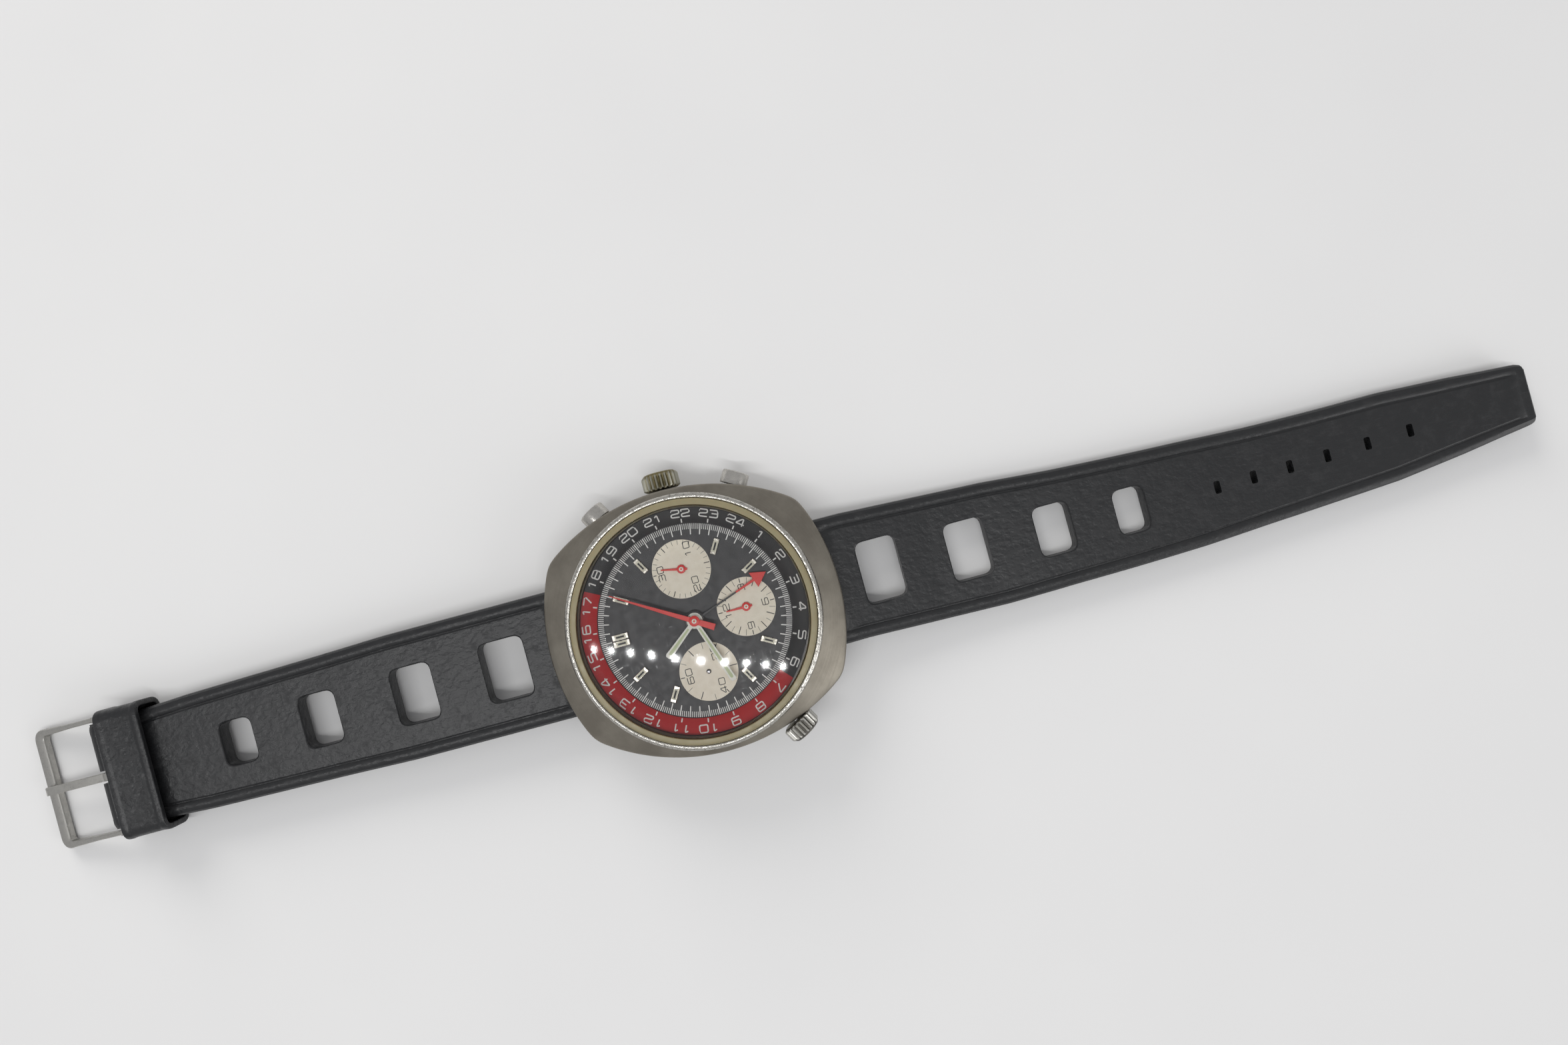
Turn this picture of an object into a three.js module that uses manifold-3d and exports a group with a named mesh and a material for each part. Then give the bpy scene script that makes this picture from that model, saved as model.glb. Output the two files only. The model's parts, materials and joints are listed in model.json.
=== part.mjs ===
// A hand-wound wrist chronograph on a rubber strap, laid flat with its dial up. Millimetres.
// The origin is the centre of the case back's outer face, +Z comes out of the dial, +Y points
// to 12 o'clock and +X to 3 o'clock. Every wheel, lever, hand and strap part is its own mesh.
import * as THREE from 'three';
import { mergeVertices } from 'three/addons/utils/BufferGeometryUtils.js';
import Module from 'manifold-3d';

const wasm = await Module();
wasm.setup();

// ---- Driving dimensions ----
const RING = 32; // sides of the large round parts
const PIN = 6; // sides of arbors and pins
const PIPE = 12; // sides of nested pipes and of the holes that pins turn in
const CASE_HALF_LENGTH = 22.6;
const CASE_HALF_WIDTH = 20.2;
const CASE_CORNER = { x: 13.8, y: 19.5 };
const CASE_Z = { bottom: 1.25, top: 10.3 };
const DIAL_Z = { bottom: 8.3, top: 8.7 };
const DIAL_RADIUS = 15.05;
const MOVEMENT_RADIUS = 14.3;
const SUBDIAL_OFFSET = 8;
const PLATE_Z = { bottom: 5.7, top: 7.1 };
const BRIDGE_Z = { bottom: 2.5, top: 3.05 };
const STEM_Z = 4.6; // height of the winding stem and of both pushers
const RING_STEM_Z = 7.3; // height of the stem that turns the inner ring
const PUSHER_ANGLE = 30; // either side of 3 o'clock
const RING_CROWN_ANGLE = 210; // 8 o'clock, counter-clockwise from 3 o'clock
const PIVOT = { y: 19.3, z: 3.9 }; // strap spring bars
const BUCKLE = { y: 94.6, z: 3.05, outerY: 105.6, outerZ: 0.85 };
const TAIL_TIP = 134.3;
const KEEPER = { from: 86.5, to: 93.3 };

// Centres of the wheels, seen with the dial up.
const AT = {
  centre: [0, 0],
  barrel: [4.1, 5.86],
  third: [-4.4, -2.263],
  fourth: [-SUBDIAL_OFFSET, 0],
  escape: [-7, 3.72],
  pallet: [-6.15, 6.49],
  balance: [-5.5, 8.6],
  motion: [2.51, 1.45],
  minuteRecorder: [SUBDIAL_OFFSET, 0],
  hourRecorder: [0, -SUBDIAL_OFFSET],
  crownWheel: [10.8, 0],
  winding: [8.66, 1.87],
  click: [-1.6, 10.2],
  column: [6, 7.5],
  clutch: [-6, -6],
  hammer: [4.2, -7.2],
};

// ---- Materials ----
const finish = (color, roughness, metalness) =>
  new THREE.MeshStandardMaterial({ color, roughness, metalness });
const STEEL = () => finish('#8a8278', 0.4, 1);
const BRIGHT = () => finish('#b9b7b0', 0.2, 1);
const BRASS = () => finish('#b08d4a', 0.35, 1);
const GILT = () => finish('#c2a878', 0.4, 1);
const RUBBER = () => finish('#2b2b2d', 0.6, 0);
const RED = () => finish('#c02a20', 0.5, 0);
const PALE = () => finish('#dcdccb', 0.5, 0);

// ---- Shape helpers ----
const group = new THREE.Group();

function solidOf(geometry) {
  const bare = geometry.clone();
  bare.deleteAttribute('normal');
  bare.deleteAttribute('uv');
  const merged = mergeVertices(bare);
  const corners = merged.index.array;
  const kept = [];
  for (let i = 0; i < corners.length; i += 3) {
    const [a, b, c] = [corners[i], corners[i + 1], corners[i + 2]];
    if (a !== b && b !== c && c !== a) kept.push(a, b, c);
  }
  return new wasm.Manifold(new wasm.Mesh({
    numProp: 3,
    vertProperties: new Float32Array(merged.attributes.position.array),
    triVerts: new Uint32Array(kept),
  }));
}

function geometryOf(solid) {
  const mesh = solid.getMesh();
  const geometry = new THREE.BufferGeometry();
  geometry.setAttribute('position', new THREE.BufferAttribute(new Float32Array(mesh.vertProperties), 3));
  geometry.setIndex(new THREE.BufferAttribute(new Uint32Array(mesh.triVerts), 1));
  return geometry;
}

const join = (...parts) => parts.map(solidOf).reduce((a, b) => a.add(b));
const cut = (solid, ...tools) => tools.map(solidOf).reduce((a, b) => a.subtract(b), solid);

function add(name, shape, material) {
  const solid = shape instanceof THREE.BufferGeometry ? solidOf(shape) : shape;
  const geometry = geometryOf(solid);
  const mesh = new THREE.Mesh(geometry, material);
  mesh.name = name;
  group.add(mesh);
  return mesh;
}

function moveTo(mesh, [x, y]) {
  mesh.position.x = x;
  mesh.position.y = y;
}

// A profile of [radius, height] pairs, counter-clockwise, turned about the Z axis.
function turned(profile, segments = RING) {
  const points = profile.map(([r, z]) => new THREE.Vector2(r, z));
  if (profile[0][0] > 0 || profile.at(-1)[0] > 0) points.push(points[0].clone());
  return new THREE.LatheGeometry(points, segments).rotateX(Math.PI / 2);
}

const disc = (radius, z0, z1, segments = RING) =>
  turned([[0, z0], [radius, z0], [radius, z1], [0, z1]], segments);
const tube = (outer, inner, z0, z1, segments = RING) =>
  turned([[inner, z0], [outer, z0], [outer, z1], [inner, z1]], segments);
const arbor = (radius, z0, z1) => disc(radius, z0, z1, PIN);
const round = (radius, z0, z1) => disc(radius, z0, z1, PIPE);
// The corner radius of a faceted hole that clears a pipe of this radius at every angle.
const around = (radius) => (radius + 0.03) / Math.cos(Math.PI / PIPE);
const box = (x0, x1, y0, y1, z0, z1) =>
  new THREE.BoxGeometry(x1 - x0, y1 - y0, z1 - z0)
    .translate((x0 + x1) / 2, (y0 + y1) / 2, (z0 + z1) / 2);
const moved = (geometry, [x, y], z = 0) => geometry.translate(x, y, z);

// An outline of [x, y] pairs as a plate between two heights.
function plate(outline, z0, z1, holes = []) {
  const shape = new THREE.Shape(outline.map(([x, y]) => new THREE.Vector2(x, y)));
  shape.holes = holes.map((hole) => new THREE.Path(hole.map(([x, y]) => new THREE.Vector2(x, y))));
  const options = { depth: z1 - z0, bevelEnabled: false, steps: 1 };
  return new THREE.ExtrudeGeometry(shape, options).translate(0, 0, z0);
}

// A [y, z] outline as a solid between two X values.
function crosswise(outline, x0, x1) {
  const toX = new THREE.Matrix4().makeBasis(
    new THREE.Vector3(0, 1, 0), new THREE.Vector3(0, 0, 1), new THREE.Vector3(1, 0, 0));
  return plate(outline, x0, x1).applyMatrix4(toX);
}

// Turns a shape built along +Z to point outwards from the watch centre at one height.
const outward = (geometry, degrees, z) =>
  geometry.rotateY(Math.PI / 2).rotateZ(THREE.MathUtils.degToRad(degrees)).translate(0, 0, z);

const circle = (radius, count, [x, y] = [0, 0]) =>
  Array.from({ length: count }, (_, i) => {
    const a = (i / count) * 2 * Math.PI;
    return [x + radius * Math.cos(a), y + radius * Math.sin(a)];
  });

function arc(radius, fromDegrees, toDegrees, steps) {
  return Array.from({ length: steps + 1 }, (_, i) => {
    const a = THREE.MathUtils.degToRad(fromDegrees + ((toDegrees - fromDegrees) * i) / steps);
    return [radius * Math.cos(a), radius * Math.sin(a)];
  });
}

// Pointed teeth round a pitch circle.
function gearOutline(teeth, pitch) {
  const tooth = (2 * pitch) / teeth;
  return Array.from({ length: 2 * teeth }, (_, i) => {
    const a = (i / teeth) * Math.PI;
    const r = pitch + (i % 2 ? -0.7 : 0.25) * tooth;
    return [r * Math.cos(a), r * Math.sin(a)];
  });
}

// The gaps between the spokes of a wheel.
function windows(inner, outer, count, bar) {
  return Array.from({ length: count }, (_, k) => {
    const side = (radius) => THREE.MathUtils.radToDeg(Math.asin(bar / 2 / radius));
    const start = (k * 360) / count;
    const end = start + 360 / count;
    const far = arc(outer, start + side(outer), end - side(outer), 3);
    const near = arc(inner, end - side(inner), start + side(inner), 1);
    return [...far, ...near];
  });
}

const gear = (teeth, pitch, z0, z1, holes = []) => plate(gearOutline(teeth, pitch), z0, z1, holes);
const spokedGear = (teeth, pitch, z0, z1, spokes = 4) =>
  gear(teeth, pitch, z0, z1, windows(pitch * 0.28, pitch * 0.82, spokes, pitch * 0.16));

// ---- Case ----
function cushionOutline() {
  const { x, y } = CASE_CORNER;
  const sides = [
    { chord: y, apex: CASE_HALF_WIDTH, sagitta: CASE_HALF_WIDTH - x, steps: 9 },
    { chord: x, apex: CASE_HALF_LENGTH, sagitta: CASE_HALF_LENGTH - y, steps: 6 },
  ];
  const points = [];
  for (let quarter = 0; quarter < 4; quarter += 1) {
    const { chord, apex, sagitta, steps } = sides[quarter % 2];
    const radius = (chord ** 2 + sagitta ** 2) / (2 * sagitta);
    const half = Math.asin(chord / radius) * 0.95;
    const turn = (quarter * Math.PI) / 2;
    for (let i = 0; i <= steps; i += 1) {
      const a = half * ((2 * i) / steps - 1);
      const out = apex - radius + radius * Math.cos(a);
      const along = radius * Math.sin(a);
      points.push([
        out * Math.cos(turn) - along * Math.sin(turn),
        out * Math.sin(turn) + along * Math.cos(turn),
      ]);
    }
  }
  return points;
}

function middleCase() {
  const envelope = turned([[0, CASE_Z.bottom], [18.2, CASE_Z.bottom], [24.6, 3.4], [24.6, 7.6],
    [19.4, CASE_Z.top], [0, CASE_Z.top]]);
  const cushion = solidOf(plate(cushionOutline(), CASE_Z.bottom, CASE_Z.top));
  const body = cushion.intersect(solidOf(envelope));
  const bores = [disc(15.2, 0, 9), disc(17.2, 8.15, 11), tube(16.4, 15.5, 1, 1.7)];
  const notches = [box(-10.2, 10.2, 17.1, 25, -1, 6.3), box(-10.2, 10.2, -25, -17.1, -1, 6.3)];
  const barHoles = [1, -1].map((side) =>
    outward(round(0.5, -11.2, 11.2), 0, PIVOT.z).translate(0, side * PIVOT.y, 0));
  const pushers = [PUSHER_ANGLE, -PUSHER_ANGLE].flatMap((angle) => [
    outward(disc(2.3, 20, 26, 16), angle, STEM_Z),
    outward(round(1, 14, 20.5), angle, STEM_Z),
  ]);
  const stems = [
    outward(round(0.85, 14, 24), 0, STEM_Z),
    outward(round(0.65, 14, 24), RING_CROWN_ANGLE, RING_STEM_Z),
    outward(round(1.1, 15, 16.9), RING_CROWN_ANGLE, RING_STEM_Z),
  ];
  return cut(body, ...bores, ...notches, ...barHoles, ...pushers, ...stems);
}

function caseBack() {
  const dish = turned([[0, 0], [16.6, 0], [17.2, 0.5], [17.2, 1.2], [14.7, 1.2], [14.7, 0.65],
    [0, 0.65]]);
  const slots = Array.from({ length: 6 }, (_, i) =>
    box(15.2, 16.3, -1.3, 1.3, -1, 0.4).rotateZ((i * Math.PI) / 3));
  return cut(solidOf(dish), ...slots);
}

add('middle_case', middleCase(), STEEL());
add('bezel', turned([[18.32, 10.35], [19.35, 10.35], [19.35, 10.7], [18.95, 11.2],
  [18.32, 11.2]]), BRIGHT());
add('crystal_gasket', turned([[16.95, 10.35], [18.26, 10.35], [18.26, 11.65], [17.42, 11.65],
  [17.42, 10.7], [16.95, 10.7]]), finish('#938660', 0.5, 0));
add('crystal', turned([[0, 11.6], [12, 11.25], [17.1, 10.76], [17.36, 10.76], [17.36, 11.7],
  [14, 12.6], [8, 13.2], [0, 13.4]]), finish('#e8eef0', 0.05, 0));
add('case_back', caseBack(), STEEL());
add('case_back_gasket', tube(16.35, 15.55, 1.28, 1.62), finish('#1c1c1c', 0.7, 0));
add('movement_ring', tube(15.1, 14.4, 6.2, 8.25), BRASS());
add('inner_bezel_ring', turned([[14.75, 8.85], [15.4, 8.85], [15.4, 8.25], [16.6, 8.25],
  [16.6, 8.85], [17.1, 8.85], [17.1, 9.9], [14.75, 9]]), finish('#2a2a2b', 0.5, 0));

// ---- Strap spring bars ----
for (const [name, side] of [['spring_bar_12', 1], ['spring_bar_6', -1]]) {
  const bar = join(round(0.75, -10, 10), round(0.4, -11, 11));
  const mesh = add(name, bar, BRIGHT());
  mesh.rotation.y = Math.PI / 2;
  mesh.position.set(0, side * PIVOT.y, PIVOT.z);
}

// ---- Crowns and pushers ----
const starOutline = (flutes, outer, inner) =>
  Array.from({ length: 2 * flutes }, (_, i) => {
    const a = (i / flutes) * Math.PI;
    const r = i % 2 ? inner : outer;
    return [r * Math.cos(a), r * Math.sin(a)];
  });

function crown(flutes, radius, from, to, bore) {
  const root = radius - 0.32;
  const shoulder = to - 0.35;
  const grip = plate(starOutline(flutes, radius, root), from, shoulder);
  const end = turned([[0, to - 0.5], [root, to - 0.5], [root, shoulder], [radius - 0.8, to],
    [0, to]], 16);
  return cut(join(grip, end), round(bore, from - 1, to - 1));
}

function place(mesh, degrees, z) {
  const holder = new THREE.Group();
  holder.rotation.z = THREE.MathUtils.degToRad(degrees);
  holder.position.z = z;
  mesh.rotation.y = Math.PI / 2;
  holder.add(mesh);
  group.add(holder);
}

place(add('winding_crown', crown(22, 2.9, 20.5, 23.3, 0.68), STEEL()), 0, STEM_Z);
place(add('inner_ring_crown', crown(20, 2.65, 21.6, 24.2, 0.55), BRIGHT()),
  RING_CROWN_ANGLE, RING_STEM_Z);
const stem = join(round(0.3, 8.7, 9.4), round(0.5, 9.3, 15.6), round(0.6, 15.5, 22.1));
place(add('winding_stem', stem, BRIGHT()), 0, STEM_Z);
place(add('winding_pinion', gear(9, 1, 12.1, 13.3, [circle(0.56, PIPE)]), BRIGHT()), 0, STEM_Z);
place(add('sliding_pinion', turned([[0.56, 9.9], [0.85, 9.9], [0.85, 10.5], [0.65, 10.5], [0.65, 11],
  [0.85, 11], [0.85, 11.8], [0.56, 11.8]], PIPE), BRIGHT()), 0, STEM_Z);
place(add('inner_ring_stem', join(arbor(0.45, 15.9, 23), gear(8, 0.85, 15.7, 16.6)), BRIGHT()),
  RING_CROWN_ANGLE, RING_STEM_Z);

const PUSHER_PROFILE = [[0, 15], [0.8, 15], [0.8, 22.7], [1.7, 22.7], [1.7, 21.3], [2.1, 21.3],
  [2.1, 23.3], [1.9, 23.5], [0, 23.5]];

class Coil extends THREE.Curve {
  getPoint(t) {
    const a = t * 3 * 2 * Math.PI;
    return new THREE.Vector3(1.25 * Math.cos(a), 1.25 * Math.sin(a), 20.2 + 1.15 * t);
  }
}
const wire = new THREE.Shape(circle(0.14, 4).map(([x, y]) => new THREE.Vector2(x, y)));
for (const [name, angle] of [['start_pusher', PUSHER_ANGLE], ['reset_pusher', -PUSHER_ANGLE]]) {
  place(add(name, turned(PUSHER_PROFILE, 16), BRIGHT()), angle, STEM_Z);
  const spring = new THREE.ExtrudeGeometry(wire, { steps: 24, extrudePath: new Coil() });
  place(add(`${name}_spring`, spring, STEEL()), angle, STEM_Z);
}

// ---- Movement frame ----
const through = (radius, at) => moved(round(radius, 0, 9), at);
const mainPlate = solidOf(disc(MOVEMENT_RADIUS, PLATE_Z.bottom, PLATE_Z.top));
add('main_plate', cut(mainPlate, through(0.6, AT.centre), through(0.32, AT.fourth),
  through(0.32, AT.minuteRecorder)), GILT());

const post = (radius, at, z0 = BRIDGE_Z.top - 0.1, z1 = PLATE_Z.bottom - 0.03) =>
  moved(arbor(radius, z0, z1), at);
const bridge = (outline, ...posts) => join(plate(outline, BRIDGE_Z.bottom, BRIDGE_Z.top), ...posts);
const barrelBridge = bridge([...arc(14.2, -12, 98, 14), [-1.2, 9.2], [1.6, 2.6], [6.2, -2.9]],
  post(0.55, [12.9, 2.74]), post(0.55, [-0.46, 13.2]));
add('barrel_bridge', cut(barrelBridge, through(0.32, AT.minuteRecorder)), GILT());
const trainOutline = [...arc(14.2, 168, 345, 18), [6, -3.6], [1.1, 2.2], [-1.5, 2.2], [-5, 5.4],
  [-9, 5.2]];
const trainBridge = bridge(trainOutline,
  post(0.6, [-13, -2.3]), post(0.6, [2.3, -13]), post(0.6, [11.6, -6.5]));
add('train_bridge', cut(trainBridge, through(0.6, AT.centre), through(0.32, AT.fourth)), GILT());
const cockOutline = [...arc(14.2, 140, 162, 4), [-9.6, 6.1], [-6, 7.4], [-4.6, 7.9], [-4.3, 9],
  [-5.2, 9.8], [-9, 9.4]];
add('balance_cock', bridge(cockOutline, post(0.7, [-11.4, 6.6])), GILT());
const chronographOutline = [[-1, -1], [3.6, -5.4], [5, -5.2], [9, -0.9], [9, 0.9], [5.2, 4.6],
  [4.2, 5.2], [-1, 1]];
add('chronograph_bridge', join(plate(chronographOutline, 0.85, 1.2),
  post(0.4, [4.2, 4.4], 1.1, 2.45), post(0.4, [4, -4.6], 1.1, 2.45)), GILT());

// ---- Mainspring barrel and winding wheels ----
// A flat ribbon wound from one radius to another.
function ribbon(from, to, turns, steps, thick, z0, z1) {
  const side = (offset) => Array.from({ length: steps + 1 }, (_, i) => {
    const a = (i / steps) * turns * 2 * Math.PI;
    const r = from + ((to - from) * i) / steps + offset;
    return [r * Math.cos(a), r * Math.sin(a)];
  });
  return plate([...side(thick / 2), ...side(-thick / 2).reverse()], z0, z1);
}

const drum = join(turned([[0.95, 4.2], [5.9, 4.2], [5.9, 5], [5.6, 5], [5.6, 4.4], [0.95, 4.4]], 24),
  gear(52, 6.2, 4.95, 5.45, [circle(5.6, 24)]));
moveTo(add('mainspring_barrel', drum, BRASS()), AT.barrel);
moveTo(add('mainspring', ribbon(1.4, 5.4, 4, 48, 0.25, 4.5, 5.15), BRIGHT()), AT.barrel);
const ratchetWheel = join(gear(48, 5.1, 3.1, 3.5), arbor(0.8, 3.4, 5.65));
moveTo(add('ratchet_wheel', ratchetWheel, BRIGHT()), AT.barrel);
moveTo(add('crown_wheel', gear(18, 1.9, 3.1, 3.5), BRIGHT()), AT.crownWheel);
moveTo(add('transmission_wheel', gear(9, 0.95, 3.1, 3.5), BRIGHT()), AT.winding);
const clickOutline = [[-0.6, 0.2], [-0.3, -0.5], [0.6, -0.9], [1.55, -0.95], [0.5, 0.3], [0, 0.6]];
moveTo(add('click', plate(clickOutline, 3.1, 3.5), BRIGHT()), AT.click);

// ---- Going train, escapement and balance ----
const centreWheel = join(spokedGear(48, 4.4, 3.65, 3.9), gear(8, 0.95, 4.9, 5.5), round(0.5, 2.3, 9.95),
  gear(8, 0.725, 7.2, 7.42));
add('center_wheel', cut(centreWheel, round(0.28, 0, 12)), BRASS());
const thirdWheel = join(spokedGear(45, 3.75, 4.35, 4.6), gear(6, 0.55, 3.55, 4),
  arbor(0.2, 3.1, 5.6));
moveTo(add('third_wheel', thirdWheel, BRASS()), AT.third);
const fourthWheel = join(spokedGear(60, 3.5, 5, 5.25), gear(6, 0.5, 4.25, 4.7),
  arbor(0.2, 1.5, 9), gear(24, 1.5, 1.9, 2.1));
moveTo(add('fourth_wheel', fourthWheel, BRASS()), AT.fourth);
const hooked = Array.from({ length: 30 }, (_, i) => {
  const a = ((i + (i % 2 ? 0.5 : 0)) / 30) * 2 * Math.PI;
  const r = i % 2 ? 1.75 : 2.25;
  return [r * Math.cos(a), r * Math.sin(a)];
});
const escapeWheel = join(plate(hooked, 4.25, 4.45, windows(0.6, 1.45, 4, 0.4)),
  gear(6, 0.35, 4.9, 5.35), arbor(0.15, 3.1, 5.6));
moveTo(add('escape_wheel', escapeWheel, BRIGHT()), AT.escape);

// The lever's own Y axis points at the balance; its two pallets reach back to the escape wheel.
const lever = plate([[-1.35, -0.75], [-1, -0.75], [-0.85, 0], [0.85, 0], [1, -0.75], [1.35, -0.75],
  [1.2, 0.35], [0.2, 0.45], [0.2, 1.1], [0.4, 1.5], [0.15, 1.5], [0, 1.25], [-0.15, 1.5],
  [-0.4, 1.5], [-0.2, 1.1], [-0.2, 0.45], [-1.2, 0.35]], 4.25, 4.45);
const palletFork = add('pallet_fork', join(lever, arbor(0.15, 3.98, 5.6)), BRIGHT());
moveTo(palletFork, AT.pallet);
const toBalance = [AT.balance[0] - AT.pallet[0], AT.balance[1] - AT.pallet[1]];
palletFork.rotation.z = Math.atan2(toBalance[1], toBalance[0]) - Math.PI / 2;

const balance = join(plate(circle(3.4, 24), 3.5, 3.85, windows(0.5, 2.9, 2, 0.5)),
  arbor(0.2, 3.12, 5.62), arbor(0.45, 4.2, 4.5));
moveTo(add('balance_wheel', balance, BRASS()), AT.balance);
moveTo(add('hairspring', ribbon(0.5, 2.1, 3, 36, 0.08, 3.2, 3.35), BRIGHT()), AT.balance);

// ---- Motion work under the dial ----
moveTo(add('minute_wheel', join(gear(24, 2.175, 7.2, 7.42), gear(6, 0.58, 7.4, 7.7),
  gear(6, 0.322, 7.6, 8.05)), BRASS()), AT.motion);
const hourWheel = join(gear(24, 2.32, 7.5, 7.65), round(0.85, 7.5, 9.65));
add('hour_wheel', cut(hourWheel, round(0.55, 7, 10)), BRASS());
const gmtWheel = join(gear(48, 2.578, 7.8, 7.95), round(1.2, 7.8, 9.35));
add('gmt_wheel', cut(gmtWheel, round(0.9, 7, 10)), BRASS());

// ---- Chronograph work ----
const heart = (radius, z0, z1) => plate([[0, radius * 0.4], [radius * 0.6, radius * 0.7], [radius, 0.2],
  [0, -radius], [-radius, 0.2], [-radius * 0.6, radius * 0.7]].reverse(), z0, z1);
const runner = join(spokedGear(60, 3.9, 1.9, 2.1), heart(0.7, 1.45, 1.7), arbor(0.2, 1.25, 10.45));
add('chronograph_runner', runner, BRASS());
const minuteRecorder = join(spokedGear(30, 3.5, 1.9, 2.1), heart(0.7, 1.45, 1.7),
  arbor(0.2, 1.25, 9));
moveTo(add('minute_recorder', minuteRecorder, BRASS()), AT.minuteRecorder);
const hourRecorder = join(spokedGear(30, 3.3, 7.2, 7.4), arbor(0.2, 7.15, 9));
moveTo(add('hour_recorder', hourRecorder, BRASS()), AT.hourRecorder);
const columns = circle(1.1, 6).map((at) => moved(disc(0.28, 1.8, 2.3, 4), at));
const columnWheel = join(gear(12, 1.7, 1.6, 1.85), arbor(0.35, 1.8, 2.45), ...columns);
moveTo(add('column_wheel', columnWheel, BRIGHT()), AT.column);
const reach = [0.75, 5.45]; // from the lever's pivot to its coupling wheel
const clutchArm = plate([[-0.4, -0.4], [0.4, -0.4], [reach[0] + 0.3, reach[1]],
  [reach[0] - 0.3, reach[1]]], 2.08, 2.4);
const clutch = join(clutchArm, moved(gear(20, 1.2, 1.9, 2.1), reach), arbor(0.4, 1.9, 2.45));
moveTo(add('clutch_lever', clutch, BRIGHT()), AT.clutch);
const hammerArms = plate([[-0.5, -0.5], [0.5, -0.5], [0.7, 1], [3.6, 5.1], [2.9, 5.5], [0, 1.8],
  [-2.9, 5.7], [-3.6, 5.2]], 1.4, 1.75);
moveTo(add('reset_hammer', join(hammerArms, arbor(0.35, 1.4, 2.45)), BRIGHT()), AT.hammer);

// ---- Dial and hands ----
const dialHoles = [AT.fourth, AT.minuteRecorder, AT.hourRecorder];
add('dial', cut(solidOf(disc(DIAL_RADIUS, DIAL_Z.bottom, DIAL_Z.top)), through(1.3, AT.centre),
  ...dialHoles.map((at) => through(0.35, at)),
  ...dialHoles.map((at) => moved(disc(4.5, DIAL_Z.top - 0.12, 9, 24), at))), finish('#3c3c3e', 0.6, 0));

// A hand points to 12 o'clock in its own outline, and clock degrees turn it clockwise.
function hand(name, outline, z0, z1, hub, pipe, clockDegrees, at, material) {
  const blade = join(plate(outline, z0, z1), round(hub, z0, z1));
  const mesh = add(name, cut(blade, round(around(pipe), z0 - 1, z1 + 1)), material);
  moveTo(mesh, at);
  mesh.rotation.z = -THREE.MathUtils.degToRad(clockDegrees);
}
const baton = (length, half) =>
  [[-half, 0], [half, 0], [half, length - 0.5], [0, length], [-half, length - 0.5]];
const needle = (length, half, tail) =>
  [[-half, -tail], [half, -tail], [half, 0], [0.08, length], [-0.08, length], [-half, 0]];
const arrow = [[-0.12, 0], [0.12, 0], [0.2, 10.7], [1.3, 10.7], [0, 13], [-1.3, 10.7], [-0.2, 10.7]];
hand('gmt_hand', arrow, 9.15, 9.3, 1.5, 1.2, 160.4, AT.centre, RED());
hand('hour_hand', baton(6.9, 0.45), 9.45, 9.6, 1.25, 0.85, 320.9, AT.centre, PALE());
hand('minute_hand', baton(10.7, 0.45), 9.75, 9.9, 1, 0.5, 251, AT.centre, PALE());
hand('chronograph_seconds_hand', needle(13.3, 0.35, 3.2), 10.05, 10.2, 0.95, 0.2, 31.3,
  AT.centre, RED());
hand('minute_counter_hand', needle(3.5, 0.22, 1), 8.82, 8.95, 0.5, 0.2, 11.5, AT.minuteRecorder, RED());
hand('hour_counter_hand', needle(3.5, 0.22, 1), 8.82, 8.95, 0.5, 0.2, 0, AT.hourRecorder, RED());

// ---- Strap ----
// Each half is a side profile run across the strap, trimmed to its plan outline.
function strapHalf({ bottom, top, widths, bow, holes, slots, end }) {
  const side = [...bottom, ...[...top].reverse()];
  const centre = (d) => bow * Math.sin(Math.PI * Math.min(1, Math.max(0, (d - 25) / (TAIL_TIP - 25))));
  const right = widths.map(([d, w]) => [centre(d) + w / 2, d]);
  const left = [...widths].reverse().map(([d, w]) => [centre(d) - w / 2, d]);
  const plan = plate([...right, ...left], -1, 9);
  const head = outward(disc(2.05, -12, 12, 16), 0, PIVOT.z).translate(0, PIVOT.y, 0);
  const rounds = end ? [outward(disc(1.65, -12, 12, 16), 0, BUCKLE.z).translate(0, BUCKLE.y, 0)] : [];
  const blank = join(crosswise(side, -12, 12), head, ...rounds).intersect(solidOf(plan));
  const vents = holes.map(({ d, along, across }) => {
    const [a, b, k] = [across / 2, along / 2, 1.2];
    const x = centre(d);
    return plate([[x - a + k, d - b], [x + a - k, d - b], [x + a, d - b + k], [x + a, d + b - k],
      [x + a - k, d + b], [x - a + k, d + b], [x - a, d + b - k], [x - a, d - b + k]], -2, 9);
  });
  const small = slots.map(({ d, along, across }) =>
    box(centre(d) - across / 2, centre(d) + across / 2, d - along / 2, d + along / 2, -2, 9));
  const bores = [outward(round(0.85, -12, 12), 0, PIVOT.z).translate(0, PIVOT.y, 0)];
  if (end) bores.push(outward(round(0.82, -12, 12), 0, BUCKLE.z).translate(0, BUCKLE.y, 0));
  return cut(blank, ...vents, ...small, ...bores);
}
const ventList = (rows) => rows.map(([d, along, across]) => ({ d, along, across }));

const buckleStrap = strapHalf({
  bottom: [[PIVOT.y, 2.2], [23, 2.15], [60, 1.4], [BUCKLE.y, 1.4]],
  top: [[PIVOT.y, 5.6], [23, 5.5], [60, 4.7], [BUCKLE.y, 4.7]],
  widths: [[16, 20], [48, 20], [59, 19.3], [70, 18.8], [80, 18.3], [90, 17.2], [98, 16.8]],
  bow: 0,
  holes: ventList([[30.6, 7, 9.1], [45.3, 6.4, 8.6], [60.5, 5.7, 7.9], [73.7, 5, 6.6]]),
  slots: [{ d: 95.2, along: 5, across: 2 }],
  end: true,
});
add('buckle_strap', buckleStrap, RUBBER());

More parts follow.
